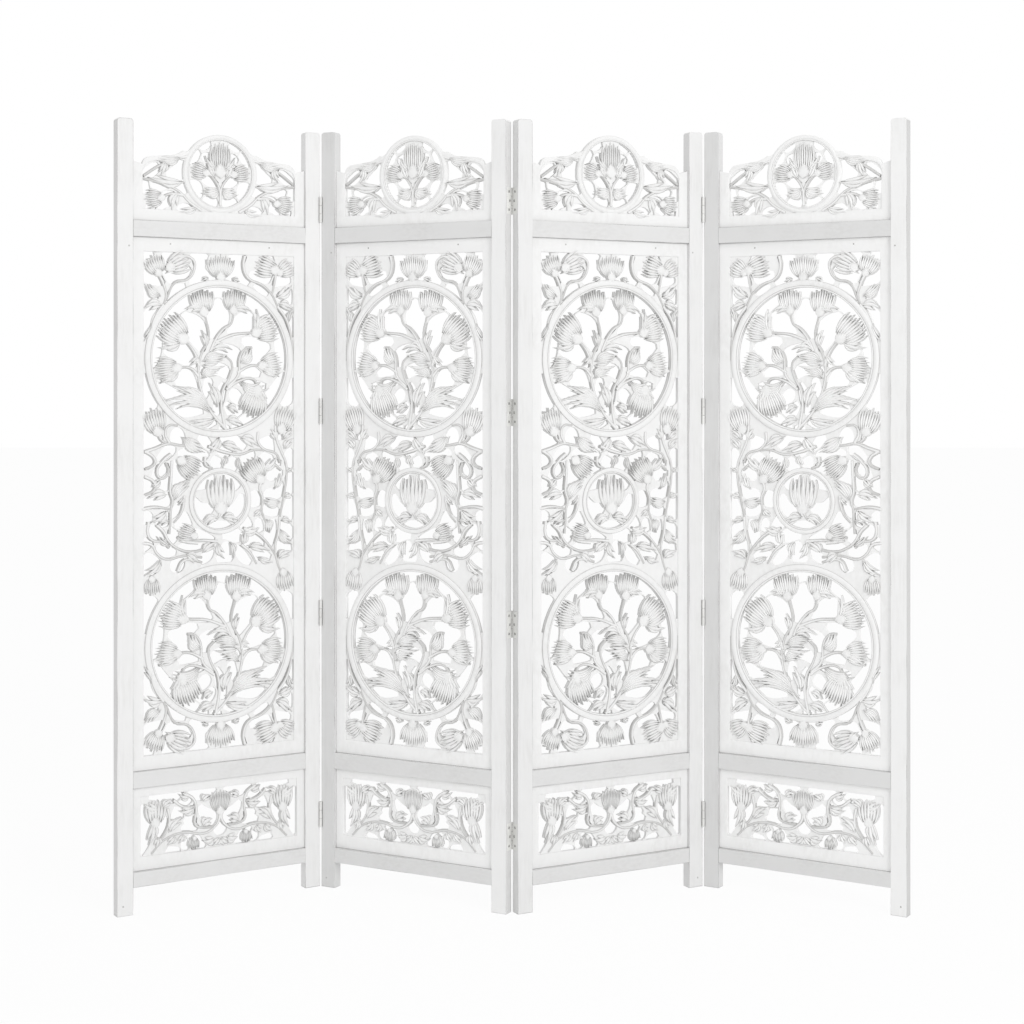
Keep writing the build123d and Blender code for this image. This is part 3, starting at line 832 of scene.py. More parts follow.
def board_pattern(name, outline, windows, openings, rings, lays):
    """Return a board lying flat: its plain margin, the sunk ground, rings and carved forms."""
    lows, highs = np.array(outline).min(axis=0), np.array(outline).max(axis=0)
    middle = (lows + highs) / 2
    inset = 1.0 - 4.0 / (highs - lows)
    inner = [tuple(middle + (np.array(point) - middle) * inset) for point in outline]
    corners = np.vstack(windows)
    limits = (corners.min(axis=0) - 1.0, corners.max(axis=0) + 1.0)
    openings = widened(openings, WIDER_CUT, THINNEST_WALL, limits, inner)
    margin = pierced_plate(f"{name} margin", outline, windows, BOARD_HALF_THICKNESS)
    ground = pierced_plate(f"{name} ground", inner, openings, GROUND_HALF_THICKNESS, rounding=0.0)
    pick(ground, margin)
    bpy.ops.object.join()
    plate = bpy.context.object
    flats = len(plate.data.vertices)
    pieces = [plate]
    for index, (centre, outer, inner, groove) in enumerate(rings):
        pieces.append(carved_ring(f"{name} ring {index}", centre, outer, inner, groove))
    forms = Forms(petal_shape())
    lines = []
    for place, flip, flowers, stems, leaves in lays:
        lines += [place(points) for points in stems]
        for base, tip, half_width, bow in leaves:
            base, tip = place([base, tip])
            forms.leaf(base, tip, half_width, bow * flip)
        for base, tip, spread, petals in flowers:
            base, tip = place([base, tip])
            forms.flower(base, tip, spread, petals)
    pieces += [stems_of(f"{name} stems", lines), forms.carved(f"{name} forms")]
    pick(*pieces[1:], plate)
    bpy.ops.object.join()
    board = bpy.context.object
    # The low parts of the carving and the walls of its openings are marked to be painted darker as
    # painted shade: the deeper, the darker
    heights = np.array([abs(point.co.z) / MM for point in board.data.vertices])
    rises = heights - BOARD_HALF_THICKNESS
    cuts = np.clip((0.9 - rises) / 1.3, 0.0, 1.0)
    cuts[rises < -5.0] = 0.2
    cuts[:flats] = 0.0
    cut = board.data.attributes.new("cut", "FLOAT", "POINT")
    cut.data.foreach_set("value", cuts.astype(np.float32))
    return board


def main_board_pattern():
    """Return the main board: two medallions, the rosette between them and vines all round."""
    height = (MAIN_TOP - MAIN_BASE) / 2
    offset = MEDALLION_CENTRE - MAIN_CENTRE
    openings, lays = [], []

    for level, side in ((offset, 1), (-offset, -1)):
        def in_medallion(points, level=level, side=side):
            return moved(points, (253.0, MEDALLION_CENTRE), (0.0, level), flip_x=side)

        openings += [softened(in_medallion(corners)) for corners in MEDALLION_OPENINGS]
        openings += [
            crescent((0.0, level), MEDALLION_INNER, start, end, depth, side)
            for start, end, depth in MEDALLION_CRESCENTS
        ]
        lays.append((in_medallion, side, MEDALLION_FLOWERS, MEDALLION_STEMS, MEDALLION_LEAVES))

    for side in (1, -1):
        def beyond_rings(points, side=side):
            return moved(points, (251.0, MAIN_CENTRE), flip_y=side, stretch=1.008)

        openings += [softened(beyond_rings(corners)) for corners in END_OPENINGS]
        lays.append((beyond_rings, side, END_FLOWERS, END_STEMS, END_LEAVES))

    def between_rings(points):
        return moved(points, (251.0, MAIN_CENTRE), stretch=1.008)

    def in_rosette(points):
        return moved(points, (251.0, 939.0))

    openings += [softened(between_rings(corners)) for corners in VINE_OPENINGS]
    openings += [softened(in_rosette(corners)) for corners in ROSETTE_OPENINGS]
    openings += [crescent((0.0, 0.0), ROSETTE_INNER, *arc) for arc in ROSETTE_CRESCENTS]
    lays.append((between_rings, 1, VINE_FLOWERS, VINE_STEMS, VINE_LEAVES))
    lays.append((in_rosette, 1, ROSETTE_FLOWERS, ROSETTE_STEMS, ROSETTE_LEAVES))
    side = BOARD_HALF_WIDTH
    rings = [((0.0, level), MEDALLION_OUTER, MEDALLION_INNER, 4.5) for level in (offset, -offset)]
    rings.append(((0.0, 0.0), ROSETTE_OUTER, ROSETTE_INNER, 3.5))
    outline = box_outline(-side, -height, side, height)
    field = box_outline(*MAIN_FIELD)
    return board_pattern("main board", outline, [field], openings, rings, lays)


def lower_board_pattern():
    """Return the lower board: a lotus in the middle, with scrolls to both sides."""
    base = (DRAWN_CENTRE, LOWER_BASE)
    openings = [softened(moved([*LOWER_MIDDLE_OPENING], base))]
    lays = []
    for side in (1, -1):
        def beside_lotus(points, side=side):
            return moved(points, base, flip_x=side)

        openings += [softened(beside_lotus(corners)) for corners in LOWER_OPENINGS]
        lays.append((beside_lotus, side, LOWER_FLOWERS[1:], LOWER_STEMS, LOWER_LEAVES))
    lays.append((lambda points: moved(points, base), 1, LOWER_FLOWERS[:1], [], []))
    half, height = BOARD_HALF_WIDTH, LOWER_TOP - LOWER_BASE
    outline = box_outline(-half, 0, half, height)
    field = box_outline(*LOWER_FIELD)
    return board_pattern("lower board", outline, [field], openings, [], lays)


def crest_outline():
    """Return the crest's outline: shoulders, a low wave and the ring above them."""
    top = CREST_TOP - CREST_BASE
    centre = top - CREST_RING_OUTER
    shoulder = CREST_SHOULDER - CREST_BASE
    wave = [(-216, shoulder), (-192, shoulder - 8), (-191, shoulder - 3), (-186, shoulder + 5)]
    climb = [(-178, 10), (-166, 12), (-144, 14), (-124, 16)]
    climb += [(-108, 20), (-98, 25), (-93, 29), (-86, 27)]
    wave += [(x, shoulder + rise) for x, rise in climb]
    half = [(-BOARD_HALF_WIDTH, 0), (-BOARD_HALF_WIDTH, shoulder), *wave]
    start = math.degrees(math.asin((shoulder + 32 - centre) / CREST_RING_OUTER))
    dome = []
    for step in range(41):
        angle = math.radians(180 - start - step * (180 - 2 * start) / 40)
        across, up = CREST_RING_OUTER * math.cos(angle), CREST_RING_OUTER * math.sin(angle)
        dome.append((across, centre + up))
    return [*half, *dome, *[(-x, y) for x, y in reversed(half)]]


def crest_windows():
    """Return the crest's fields inside its margin: one to each side and one in the ring."""
    centre = CREST_TOP - CREST_BASE - CREST_RING_OUTER
    reach = CREST_RING_OUTER + 1.0
    left = [(-191, 27)]
    for step in range(13):
        angle = math.radians(258 - step * (258 - 160) / 12)
        left.append((reach * math.cos(angle), centre + reach * math.sin(angle)))
    left += [(-98, 150), (-108, 147), (-124, 144), (-144, 142)]
    left += [(-166, 139), (-178, 135), (-186, 128), (-191, 118)]
    ring = []
    for step in range(60):
        angle = math.radians(step * 6)
        across, up = CREST_RING_INNER * math.cos(angle), CREST_RING_INNER * math.sin(angle)
        ring.append((across, centre + up))
    return [left, [(-x, y) for x, y in left], ring]


def crest_board_pattern():
    """Return the crest: a tulip in a ring, with leaves and scrolls to both sides."""
    base = (DRAWN_CENTRE, CREST_BASE)
    openings, lays = [], []
    for side in (1, -1):
        def beside_tulip(points, side=side):
            return moved(points, base, flip_x=side)

        drawn = CREST_OPENINGS + CREST_RING_OPENINGS
        openings += [softened(beside_tulip(corners)) for corners in drawn]
        lays.append((beside_tulip, side, CREST_SIDE_FLOWERS, CREST_STEMS, CREST_LEAVES))
    lays.append((lambda points: moved(points, base), 1, CREST_FLOWERS, [], []))
    centre = (0.0, CREST_TOP - CREST_BASE - CREST_RING_OUTER)
    rings = [(centre, CREST_RING_OUTER - 0.3, CREST_RING_INNER, 3.5)]
    return board_pattern("crest", crest_outline(), crest_windows(), openings, rings, lays)


def block(name, low, high, easing=0.2):
    """Return a block between two corners, in millimetres, with eased edges."""
    low, high = Vector(low), Vector(high)
    bpy.ops.object.select_all(action="DESELECT")
    bpy.ops.mesh.primitive_cube_add(size=MM)
    made = bpy.context.object
    made.name = name
    bpy.ops.object.mode_set(mode="EDIT")
    bpy.ops.mesh.select_all(action="SELECT")
    bpy.ops.transform.resize(value=[abs(side) for side in high - low], center_override=(0, 0, 0))
    bpy.ops.transform.translate(value=(low + high) / 2 * MM)
    bpy.ops.object.mode_set(mode="OBJECT")
    return eased(made, easing)


def rod(name, radius, low, high, sides=20, easing=0.25):
    """Return an upright rod on the pin's line, in millimetres, with eased ends."""
    bpy.ops.object.select_all(action="DESELECT")
    middle = (0, 0, (low + high) / 2 * MM)
    bpy.ops.mesh.primitive_cylinder_add(
        vertices=sides, radius=radius * MM, depth=(high - low) * MM, location=middle
    )
    made = bpy.context.object
    made.name = name
    bpy.ops.object.transform_apply(location=True)
    return eased(made, easing)


def eased(made, easing):
    """Ease a piece's sharp edges."""
    pick(made)
    bevel = made.modifiers.new("Eased edges", "BEVEL")
    bevel.width = easing * MM
    bevel.segments = 1
    bevel.limit_method = "ANGLE"
    bevel.angle_limit = math.radians(50)
    bpy.ops.object.modifier_apply(modifier=bevel.name)
    return made


def screw_head(name, place, turn):
    """Return a flat screw head that faces along X, with a slot turned by some degrees."""
    bpy.ops.object.select_all(action="DESELECT")
    bpy.ops.mesh.primitive_cylinder_add(vertices=16, radius=SCREW_RADIUS * MM, depth=0.3 * MM)
    made = bpy.context.object
    made.name = name
    bpy.ops.object.mode_set(mode="EDIT")
    bpy.ops.mesh.select_all(action="SELECT")
    bpy.ops.mesh.bisect(
        plane_co=(0, SCREW_SLOT / 2 * MM, 0), plane_no=(0, 1, 0), clear_inner=True, use_fill=True
    )
    bpy.ops.object.mode_set(mode="OBJECT")
    mirror = made.modifiers.new("Other side of the slot", "MIRROR")
    mirror.use_axis = (False, True, False)
    mirror.use_mirror_merge = False
    bpy.ops.object.modifier_apply(modifier=mirror.name)
    sideways = Matrix.Rotation(math.radians(90), 4, "Y")
    turned = sideways @ Matrix.Rotation(math.radians(turn), 4, "Z")
    made.data.transform(Matrix.Translation(Vector(place) * MM) @ turned)
    return made


def mark_bare(piece, value):
    """Say how bare a piece's metal is, from painted (0) to bare (1)."""
    bare = piece.data.attributes.new("bare", "FLOAT", "POINT")
    bare.data.foreach_set("value", [value] * len(piece.data.vertices))


def hinge_half(side, leaf_way, pinned):
    """Return one leaf with its knuckles and screws, its foot on the pin's line at the origin."""
    end_knuckle = (HINGE_LENGTH - MIDDLE_KNUCKLE) / 2 - KNUCKLE_GAP
    if pinned:
        knuckles = [(0.0, end_knuckle), (HINGE_LENGTH - end_knuckle, HINGE_LENGTH)]
    else:
        knuckles = [((HINGE_LENGTH - MIDDLE_KNUCKLE) / 2, (HINGE_LENGTH + MIDDLE_KNUCKLE) / 2)]
    inner = side * (LEAF_OFFSET - LEAF_THICKNESS / 2)
    outer = side * (LEAF_OFFSET + LEAF_THICKNESS / 2)
    near, far = leaf_way * PIN_STANDOFF, leaf_way * (PIN_STANDOFF + LEAF_DEPTH)
    painted = [block("leaf", (inner, near, 0), (outer, far, HINGE_LENGTH))]
    for low, high in knuckles:
        neck_end = leaf_way * (PIN_STANDOFF + 1)
        painted.append(block("neck", (inner, 0, low), (outer, neck_end, high)))
        painted.append(rod("knuckle", BARREL_RADIUS, low, high))
    bare = [
        screw_head("screw", (inner, leaf_way * (PIN_STANDOFF + depth - 2.0), up), turn)
        for depth, up, turn in HINGE_SCREWS
    ]
    if pinned:
        bare.append(rod("pin", PIN_RADIUS, 0.0, HINGE_LENGTH, sides=16))
    for pieces, value in ((painted, 0.0), (bare, 1.0)):
        for piece in pieces:
            mark_bare(piece, value)
    pick(*bare, *painted)
    bpy.ops.object.join()
    return bpy.context.object


def hinge_leaves(left, right, number, leaf_way, pinned, steel):
    """Fit the four leaves of one panel's edge, in place of the frame's plain ones."""
    side = -1 if number == left else 1
    half = hinge_half(side, leaf_way, pinned)
    along, out = panel_axes(number)
    stand = Matrix((along, -out, Vector((0, 0, 1)))).transposed().to_4x4()
    copies = []
    for height in HINGE_HEIGHTS:
        copied = half.copy()
        copied.data = half.data.copy()
        bpy.context.collection.objects.link(copied)
        place = pin_place(left, right) + Vector((0, 0, height - HINGE_LENGTH / 2)) * MM
        copied.data.transform(Matrix.Translation(place) @ stand)
        copies.append(copied)
    bpy.data.objects.remove(half)
    pick(*copies)
    bpy.ops.object.join()
    leaves = bpy.context.object
    kind = "pinned" if pinned else "plain"
    leaves.name = leaves.data.name = f"hinges_{left}_{right}_{kind}_steel"
    finish_metal(leaves, steel)
    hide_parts(f"hinges_{left}_{right}_{kind}_leaves")
    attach(leaves, f"panel_{number}")


def finish_metal(piece, steel):
    """Smooth the active metal piece, and give it its steel."""
    bpy.ops.object.shade_smooth_by_angle(angle=SMOOTH_METAL_BELOW)
    piece.data.materials.clear()
    piece.data.materials.append(steel)


def nail_heads(number, steel):
    """Drive the brads of one panel's main board and the nails of its outer stile."""
    along, out = panel_axes(number)
    outward = -1 if number in (1, 2) else 1
    middle = node_middle(f"panel_{number}_main_board")
    middle.z = 0
    places = [(across, up, BOARD_HALF_THICKNESS) for across, up in BOARD_BRADS]
    places += [(outward * across, up, FRAME_HALF_THICKNESS) for across, up in STILE_NAILS]
    heads = []
    for across, up, depth in places:
        head = rod("nail", NAIL_RADIUS, -1.0, 0.35, sides=12, easing=0.3)
        mark_bare(head, 0.6)
        facing = Matrix((along, Vector((0, 0, 1)), out)).transposed().to_4x4()
        place = middle + along * across * MM + out * depth * MM + Vector((0, 0, up * MM))
        head.data.transform(Matrix.Translation(place) @ facing)
        heads.append(head)
    pick(*heads)
    bpy.ops.object.join()
    nails = bpy.context.object
    nails.name = nails.data.name = f"panel_{number}_nails"
    finish_metal(nails, steel)
    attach(nails, f"panel_{number}")


# Placing on the standing panels


def pin_place(left, right):
    """Return the place of the pins between two panels, at the floor."""
    pair = {f"panel_{left}", f"panel_{right}"}
    for joint in frame["joints"]:
        if {joint["parent"], joint["child"]} == pair:
            x, y, _ = joint["pos_m"]
            return Vector((x, y, 0))
    raise RuntimeError(f"no joint between panels {left} and {right}")


def panel_axes(number):
    """Return the directions along a panel and out of its front."""
    turn = math.radians(PANEL_TURNS[number])
    cosine, sine = math.cos(turn), math.sin(turn)
    return Vector((cosine, sine, 0)), Vector((sine, -cosine, 0))


def node_middle(node):
    """Return the middle of a frame node's box."""
    low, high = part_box(node)
    return (Vector(low) + Vector(high)) / 2


def stand_on_panel(piece, number, height):
    """Turn a flat piece upright on a panel, mirrored where the panel is, and fix its place."""
    along, out = panel_axes(number)
    side = -1 if number in MIRRORED_PANELS else 1
    middle = node_middle(f"panel_{number}_main_board")
    turn = Matrix((along * side, Vector((0, 0, 1)), out)).transposed().to_4x4()
    piece.data.transform(Matrix.Translation((middle.x, middle.y, height)) @ turn)
    if side == -1:
        pick(piece)
        bpy.ops.object.mode_set(mode="EDIT")
        bpy.ops.mesh.select_all(action="SELECT")
        bpy.ops.mesh.flip_normals()
        bpy.ops.object.mode_set(mode="OBJECT")


def boards_from(pattern, part, height):
    """Copy a board's pattern onto every panel, in place of the frame's plain board."""
    pick(pattern)
    bpy.ops.object.mode_set(mode="EDIT")
    bpy.ops.mesh.select_all(action="SELECT")
    bpy.ops.mesh.remove_doubles(threshold=2e-6)
    bpy.ops.object.mode_set(mode="OBJECT")
    bpy.ops.object.shade_smooth_by_angle(angle=SMOOTH_CARVING_BELOW)
    for number in PANELS:
        board = pattern.copy()
        board.data = pattern.data.copy()
        board.name = board.data.name = f"panel_{number}_{part}_carving"
        bpy.context.collection.objects.link(board)
        stand_on_panel(board, number, height)
        board.data.materials.clear()
        board.data.materials.append(carved_paint(number))
        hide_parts(f"panel_{number}_{part}")
        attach(board, f"panel_{number}")
    bpy.data.objects.remove(pattern)


# Paints and metals


def new_group(name, inputs, outputs):
    """Start a shader node group, and return it with its input and output nodes."""
    group = bpy.data.node_groups.new(name, "ShaderNodeTree")
    for title, kind, default in inputs:
        socket = group.interface.new_socket(title, in_out="INPUT", socket_type=kind)
        socket.default_value = default
    for title, kind in outputs:
        group.interface.new_socket(title, in_out="OUTPUT", socket_type=kind)
    return group, group.nodes.new("NodeGroupInput"), group.nodes.new("NodeGroupOutput")


def number_node(nodes, links, operation, first, second, clamp=False):
    """Add a math node between two values or sockets."""
    node = nodes.new("ShaderNodeMath")
    node.operation = operation
    node.use_clamp = clamp
    for socket, value in zip(node.inputs, (first, second)):
        if isinstance(value, (int, float)):
            socket.default_value = value
        else:
            links.new(value, socket)
    return node.outputs[0]


def mix_colours(nodes, links, share, first, second, blend="MIX"):
    """Add a colour mix between two colours or sockets."""
    node = nodes.new("ShaderNodeMix")
    node.data_type = "RGBA"
    node.blend_type = blend
    for number, value in ((0, share), (6, first), (7, second)):
        socket = node.inputs[number]
        if isinstance(value, (int, float, tuple)):
            socket.default_value = value
        else:
            links.new(value, socket)
    return node.outputs[2]


def remapped(nodes, links, value, low, high, to_low=0.0, to_high=1.0):
    """Add a smooth remap of a value between two levels."""
    node = nodes.new("ShaderNodeMapRange")
    node.interpolation_type = "SMOOTHSTEP"
    links.new(value, node.inputs[0])
    for socket, level in zip(node.inputs[1:5], (low, high, to_low, to_high)):
        socket.default_value = level
    return node.outputs[0]


def dark_lines_group():
    """Build the mask of painted shade: along the lines where two surfaces meet, found by
    occlusion, and where the chisel cut deep.
    """
    inputs = [("Reach", "NodeSocketFloat", 0.004), ("Strength", "NodeSocketFloat", 1.0)]
    outputs = [("Mask", "NodeSocketFloat")]
    group, given, made = new_group("Painted shade in joints and cuts", inputs, outputs)
    nodes, links = group.nodes, group.links
    # Occlusion finds where surfaces meet, and the cut attribute marks the low parts of the
    # carving: both are painted darker as painted shade
    hollow = nodes.new("ShaderNodeAmbientOcclusion")
    hollow.samples = 6
    links.new(given.outputs["Reach"], hollow.inputs["Distance"])
    joint = remapped(nodes, links, hollow.outputs["AO"], 0.35, 0.8, 1.0, 0.0)
    cut = nodes.new("ShaderNodeAttribute")
    cut.attribute_name = "cut"
    carved = remapped(nodes, links, cut.outputs["Fac"], 0.25, 0.95)
    both = number_node(nodes, links, "MAXIMUM", joint, carved)
    scaled = number_node(nodes, links, "MULTIPLY", both, given.outputs["Strength"], clamp=True)
    links.new(scaled, made.inputs["Mask"])
    return group


def edge_lines_group():
    """Build the mask of the thin broken lines where paint is rubbed off along the arrises."""
    inputs = [("Width", "NodeSocketFloat", 0.002), ("Strength", "NodeSocketFloat", 1.0)]
    group, given, made = new_group("Rubbed arrises", inputs, [("Mask", "NodeSocketFloat")])
    nodes, links = group.nodes, group.links
    rounded = nodes.new("ShaderNodeBevel")
    rounded.samples = 4
    links.new(given.outputs["Width"], rounded.inputs["Radius"])
    surface = nodes.new("ShaderNodeNewGeometry")
    across = nodes.new("ShaderNodeVectorMath")
    across.operation = "DOT_PRODUCT"
    links.new(rounded.outputs["Normal"], across.inputs[0])
    links.new(surface.outputs["True Normal"], across.inputs[1])
    edge = remapped(nodes, links, across.outputs["Value"], 0.86, 0.985, 1.0, 0.0)
    place = nodes.new("ShaderNodeTexCoord")
    breaks = nodes.new("ShaderNodeTexNoise")
    breaks.inputs["Scale"].default_value = 7.0
    breaks.inputs["Detail"].default_value = 5.0
    links.new(place.outputs["Object"], breaks.inputs["Vector"])
    worn = remapped(nodes, links, breaks.outputs["Fac"], 0.4, 0.62)
    mask = number_node(nodes, links, "MULTIPLY", edge, worn)
    scaled = number_node(nodes, links, "MULTIPLY", mask, given.outputs["Strength"], clamp=True)
    links.new(scaled, made.inputs["Mask"])
    return group


def side_shade_group():
    """Build the mask of the faces that look one way, which are painted darker as painted shade."""
    inputs = [("Side", "NodeSocketVector", (0.0, 0.0, 1.0)), ("Strength", "NodeSocketFloat", 0.0)]
    group, given, made = new_group("Painted side shade", inputs, [("Mask", "NodeSocketFloat")])
    nodes, links = group.nodes, group.links
    place = nodes.new("ShaderNodeTexCoord")
    toward = nodes.new("ShaderNodeVectorMath")
    toward.operation = "DOT_PRODUCT"
    links.new(place.outputs["Normal"], toward.inputs[0])
    links.new(given.outputs["Side"], toward.inputs[1])
    faced = remapped(nodes, links, toward.outputs["Value"], 0.9, 0.97)
    scaled = number_node(nodes, links, "MULTIPLY", faced, given.outputs["Strength"], clamp=True)
    links.new(scaled, made.inputs["Mask"])
    return group


def brushed_grain_group():
    """Build the soft streaks and cloudy rubs that a brush and many years leave in paint."""
    inputs = [
        ("Along X", "NodeSocketFloat", 6.0),
        ("Along Y", "NodeSocketFloat", 6.0),
        ("Along Z", "NodeSocketFloat", 0.8),
    ]
    outputs = [(title, "NodeSocketFloat") for title in ("Streaks", "Clouds", "Height")]
    group, given, made = new_group("Brushed grain", inputs, outputs)
    nodes, links = group.nodes, group.links
    place = nodes.new("ShaderNodeTexCoord")
    scale = nodes.new("ShaderNodeCombineXYZ")
    for socket, title in zip(scale.inputs, ("Along X", "Along Y", "Along Z")):
        links.new(given.outputs[title], socket)
    stretched = nodes.new("ShaderNodeVectorMath")
    stretched.operation = "MULTIPLY"
    links.new(place.outputs["Object"], stretched.inputs[0])
    links.new(scale.outputs[0], stretched.inputs[1])
    fibres = nodes.new("ShaderNodeTexNoise")
    fibres.inputs["Scale"].default_value = 26.0
    fibres.inputs["Detail"].default_value = 5.0
    links.new(stretched.outputs[0], fibres.inputs["Vector"])
    clouds = nodes.new("ShaderNodeTexNoise")
    clouds.inputs["Scale"].default_value = 9.0
    clouds.inputs["Detail"].default_value = 4.0
    links.new(place.outputs["Object"], clouds.inputs["Vector"])
    links.new(remapped(nodes, links, fibres.outputs["Fac"], 0.3, 0.7), made.inputs["Streaks"])
    links.new(remapped(nodes, links, clouds.outputs["Fac"], 0.35, 0.7), made.inputs["Clouds"])
    links.new(fibres.outputs["Fac"], made.inputs["Height"])
    return group


def new_material(name):
    """Start a material, and return it with its nodes, links and shader."""
    material = bpy.data.materials.new(name)
    material.use_nodes = True
    nodes, links = material.node_tree.nodes, material.node_tree.links
    return material, nodes, links, nodes["Principled BSDF"]


def placed_group(nodes, group_name, **values):
    """Place a node group in a material, with its own values."""
    node = nodes.new("ShaderNodeGroup")
    node.node_tree = bpy.data.node_groups[group_name]
    for title, value in values.items():
        node.inputs[title.replace("_", " ")].default_value = value
    return node


def painted_wood(name, stretch, shade, line_shade_and_wear_colour, shade_strength, arrises=0.0, side_shade=None):
    """Make worn white paint on wood, streaked along the grain, with painted shade in its joints
    and cuts.

    The last argument gives the way that a side darkened with painted shade looks, and how dark it
    is painted.
    """
    looks = bpy.context.scene.jali_paint
    material, nodes, links, shader = new_material(name)
    along_x, along_y, along_z = stretch
    grain = placed_group(nodes, "Brushed grain", Along_X=along_x, Along_Y=along_y, Along_Z=along_z)
    # Painted shade in the joints and in the deep cuts of the carving
    lines = placed_group(
        nodes, "Painted shade in joints and cuts", Reach=SHADE_REACH, Strength=shade_strength
    )
    # The shade factor lightens or darkens the paint per piece: the paint's own tone, with painted
    # light and shade for how the lamps fall on each panel
    paint = (*[channel * shade for channel in looks.paint_colour], 1.0)
    worn = (*[channel * shade for channel in looks.worn_colour], 1.0)
    streak = number_node(nodes, links, "MULTIPLY", grain.outputs["Streaks"], looks.wear)
    cloud = number_node(nodes, links, "MULTIPLY", grain.outputs["Clouds"], streak)
    base = mix_colours(nodes, links, cloud, paint, worn)
    mask = lines.outputs["Mask"]
    if arrises:
        rubbed = placed_group(nodes, "Rubbed arrises", Width=ARRIS_WIDTH, Strength=arrises)
        mask = number_node(nodes, links, "MAXIMUM", mask, rubbed.outputs["Mask"])
    # Painted shade on the free side that looks one way
    if side_shade:
        side = placed_group(nodes, "Painted side shade", Side=side_shade[0], Strength=side_shade[1])
        mask = number_node(nodes, links, "MAXIMUM", mask, side.outputs["Mask"])
    # The paint is darkened here by painted shade in joints, cuts and some sides, and by worn paint
    # on rubbed arrises
    coloured = mix_colours(nodes, links, mask, base, (*line_shade_and_wear_colour, 1.0))
    links.new(coloured, shader.inputs["Base Color"])
    shader.inputs["Roughness"].default_value = looks.roughness
    shader.inputs["Specular IOR Level"].default_value = 0.3
    bump = nodes.new("ShaderNodeBump")
    bump.inputs["Strength"].default_value = 0.12
    bump.inputs["Distance"].default_value = 0.0006
    links.new(grain.outputs["Height"], bump.inputs["Height"])
    links.new(bump.outputs["Normal"], shader.inputs["Normal"])
    return material


def hinge_metal(name):
    """Make thinly painted steel, with bare screws and pins, and painted shade in the slots and
    between the knuckles.
    """
    looks = bpy.context.scene.jali_metal
    material, nodes, links, shader = new_material(name)
    grain = placed_group(nodes, "Brushed grain", Along_X=8.0, Along_Y=8.0, Along_Z=8.0)
    lines = placed_group(nodes, "Painted shade in joints and cuts", Reach=0.003, Strength=1.0)
    rubbed = tuple(channel * 0.85 for channel in looks.painted_colour)
    painted = mix_colours(
        nodes, links, grain.outputs["Clouds"], (*looks.painted_colour, 1.0), (*rubbed, 1.0)
    )
    bare = nodes.new("ShaderNodeAttribute")
    bare.attribute_name = "bare"
    metal = mix_colours(nodes, links, bare.outputs["Fac"], painted, (*looks.bare_colour, 1.0))
    # Painted shade in the screw slots and between the knuckles
    coloured = mix_colours(nodes, links, lines.outputs["Mask"], metal, (*looks.slot_shade_colour, 1.0))
    links.new(coloured, shader.inputs["Base Color"])
    metallic = number_node(nodes, links, "MULTIPLY", bare.outputs["Fac"], 0.8)
    links.new(metallic, shader.inputs["Metallic"])
    rough = remapped(nodes, links, grain.outputs["Streaks"], 0.0, 1.0, 0.4, 0.55)
    links.new(rough, shader.inputs["Roughness"])
    return material


# Sizes and colours to change


class JaliPaintSettings(bpy.types.PropertyGroup):
    """Colours and wear of the painted wood."""

    paint_colour: bpy.props.FloatVectorProperty(
        name="Paint",
        description="Colour of the sound paint",
        subtype="COLOR",
        size=3,
        min=0.0,
        max=1.0,
        default=(0.885, 0.885, 0.882),
    )
    worn_colour: bpy.props.FloatVectorProperty(
        name="Worn paint",
        description="Colour where the paint is thin and the wood shows through",
        subtype="COLOR",
        size=3,
        min=0.0,
        max=1.0,
        default=(0.76, 0.755, 0.745),
    )
    # Painted shade in the frame's joints and on the free sides of some stiles, and worn paint on
    # the rubbed arrises, take this colour
    joint_shade_and_wear_colour: bpy.props.FloatVectorProperty(
        name="Joint lines",
        description=(
            "Colour of the old dirt between stiles, rails and boards, and of rubbed arrises"
        ),
        subtype="COLOR",
        size=3,
        min=0.0,
        max=1.0,
        default=(0.16, 0.155, 0.15),
    )
    # Painted shade in the deep cuts of the carving and where its surfaces meet takes this colour
    line_shade_and_wear_colour: bpy.props.FloatVectorProperty(
        name="Carved lines",
        description="Colour of the old dirt in deep cuts of the carving",
        subtype="COLOR",
        size=3,
        min=0.0,
        max=1.0,
        default=(0.38, 0.375, 0.365),
    )
    wear: bpy.props.FloatProperty(
        name="Wear",
        description="How much of the paint is rubbed thin",
        subtype="FACTOR",
        min=0.0,
        max=1.0,
        default=0.45,
    )
    roughness: bpy.props.FloatProperty(
        name="Roughness",
        description="Roughness of the paint, from glossy to chalky",
        subtype="FACTOR",
        min=0.0,
        max=1.0,
        default=0.72,
    )


class JaliMetalSettings(bpy.types.PropertyGroup):
    """Colours of the hinges and nails."""

    painted_colour: bpy.props.FloatVectorProperty(
        name="Painted steel",
        description="Colour of the thin paint on the leaves and barrels",
        subtype="COLOR",
        size=3,
        min=0.0,
        max=1.0,
        default=(0.86, 0.86, 0.84),
    )
    bare_colour: bpy.props.FloatVectorProperty(
        name="Bare steel",
        description="Colour of the screws, the pins and the nails",
        subtype="COLOR",
        size=3,
        min=0.0,
        max=1.0,
        default=(0.3, 0.295, 0.285),
    )
    # Painted shade in the screw slots and between the knuckles takes this colour
    slot_shade_colour: bpy.props.FloatVectorProperty(
        name="Slots",
        description="Colour in the screw slots and between the knuckles",
        subtype="COLOR",
        size=3,
        min=0.0,
        max=1.0,
        default=(0.05, 0.048, 0.045),
    )


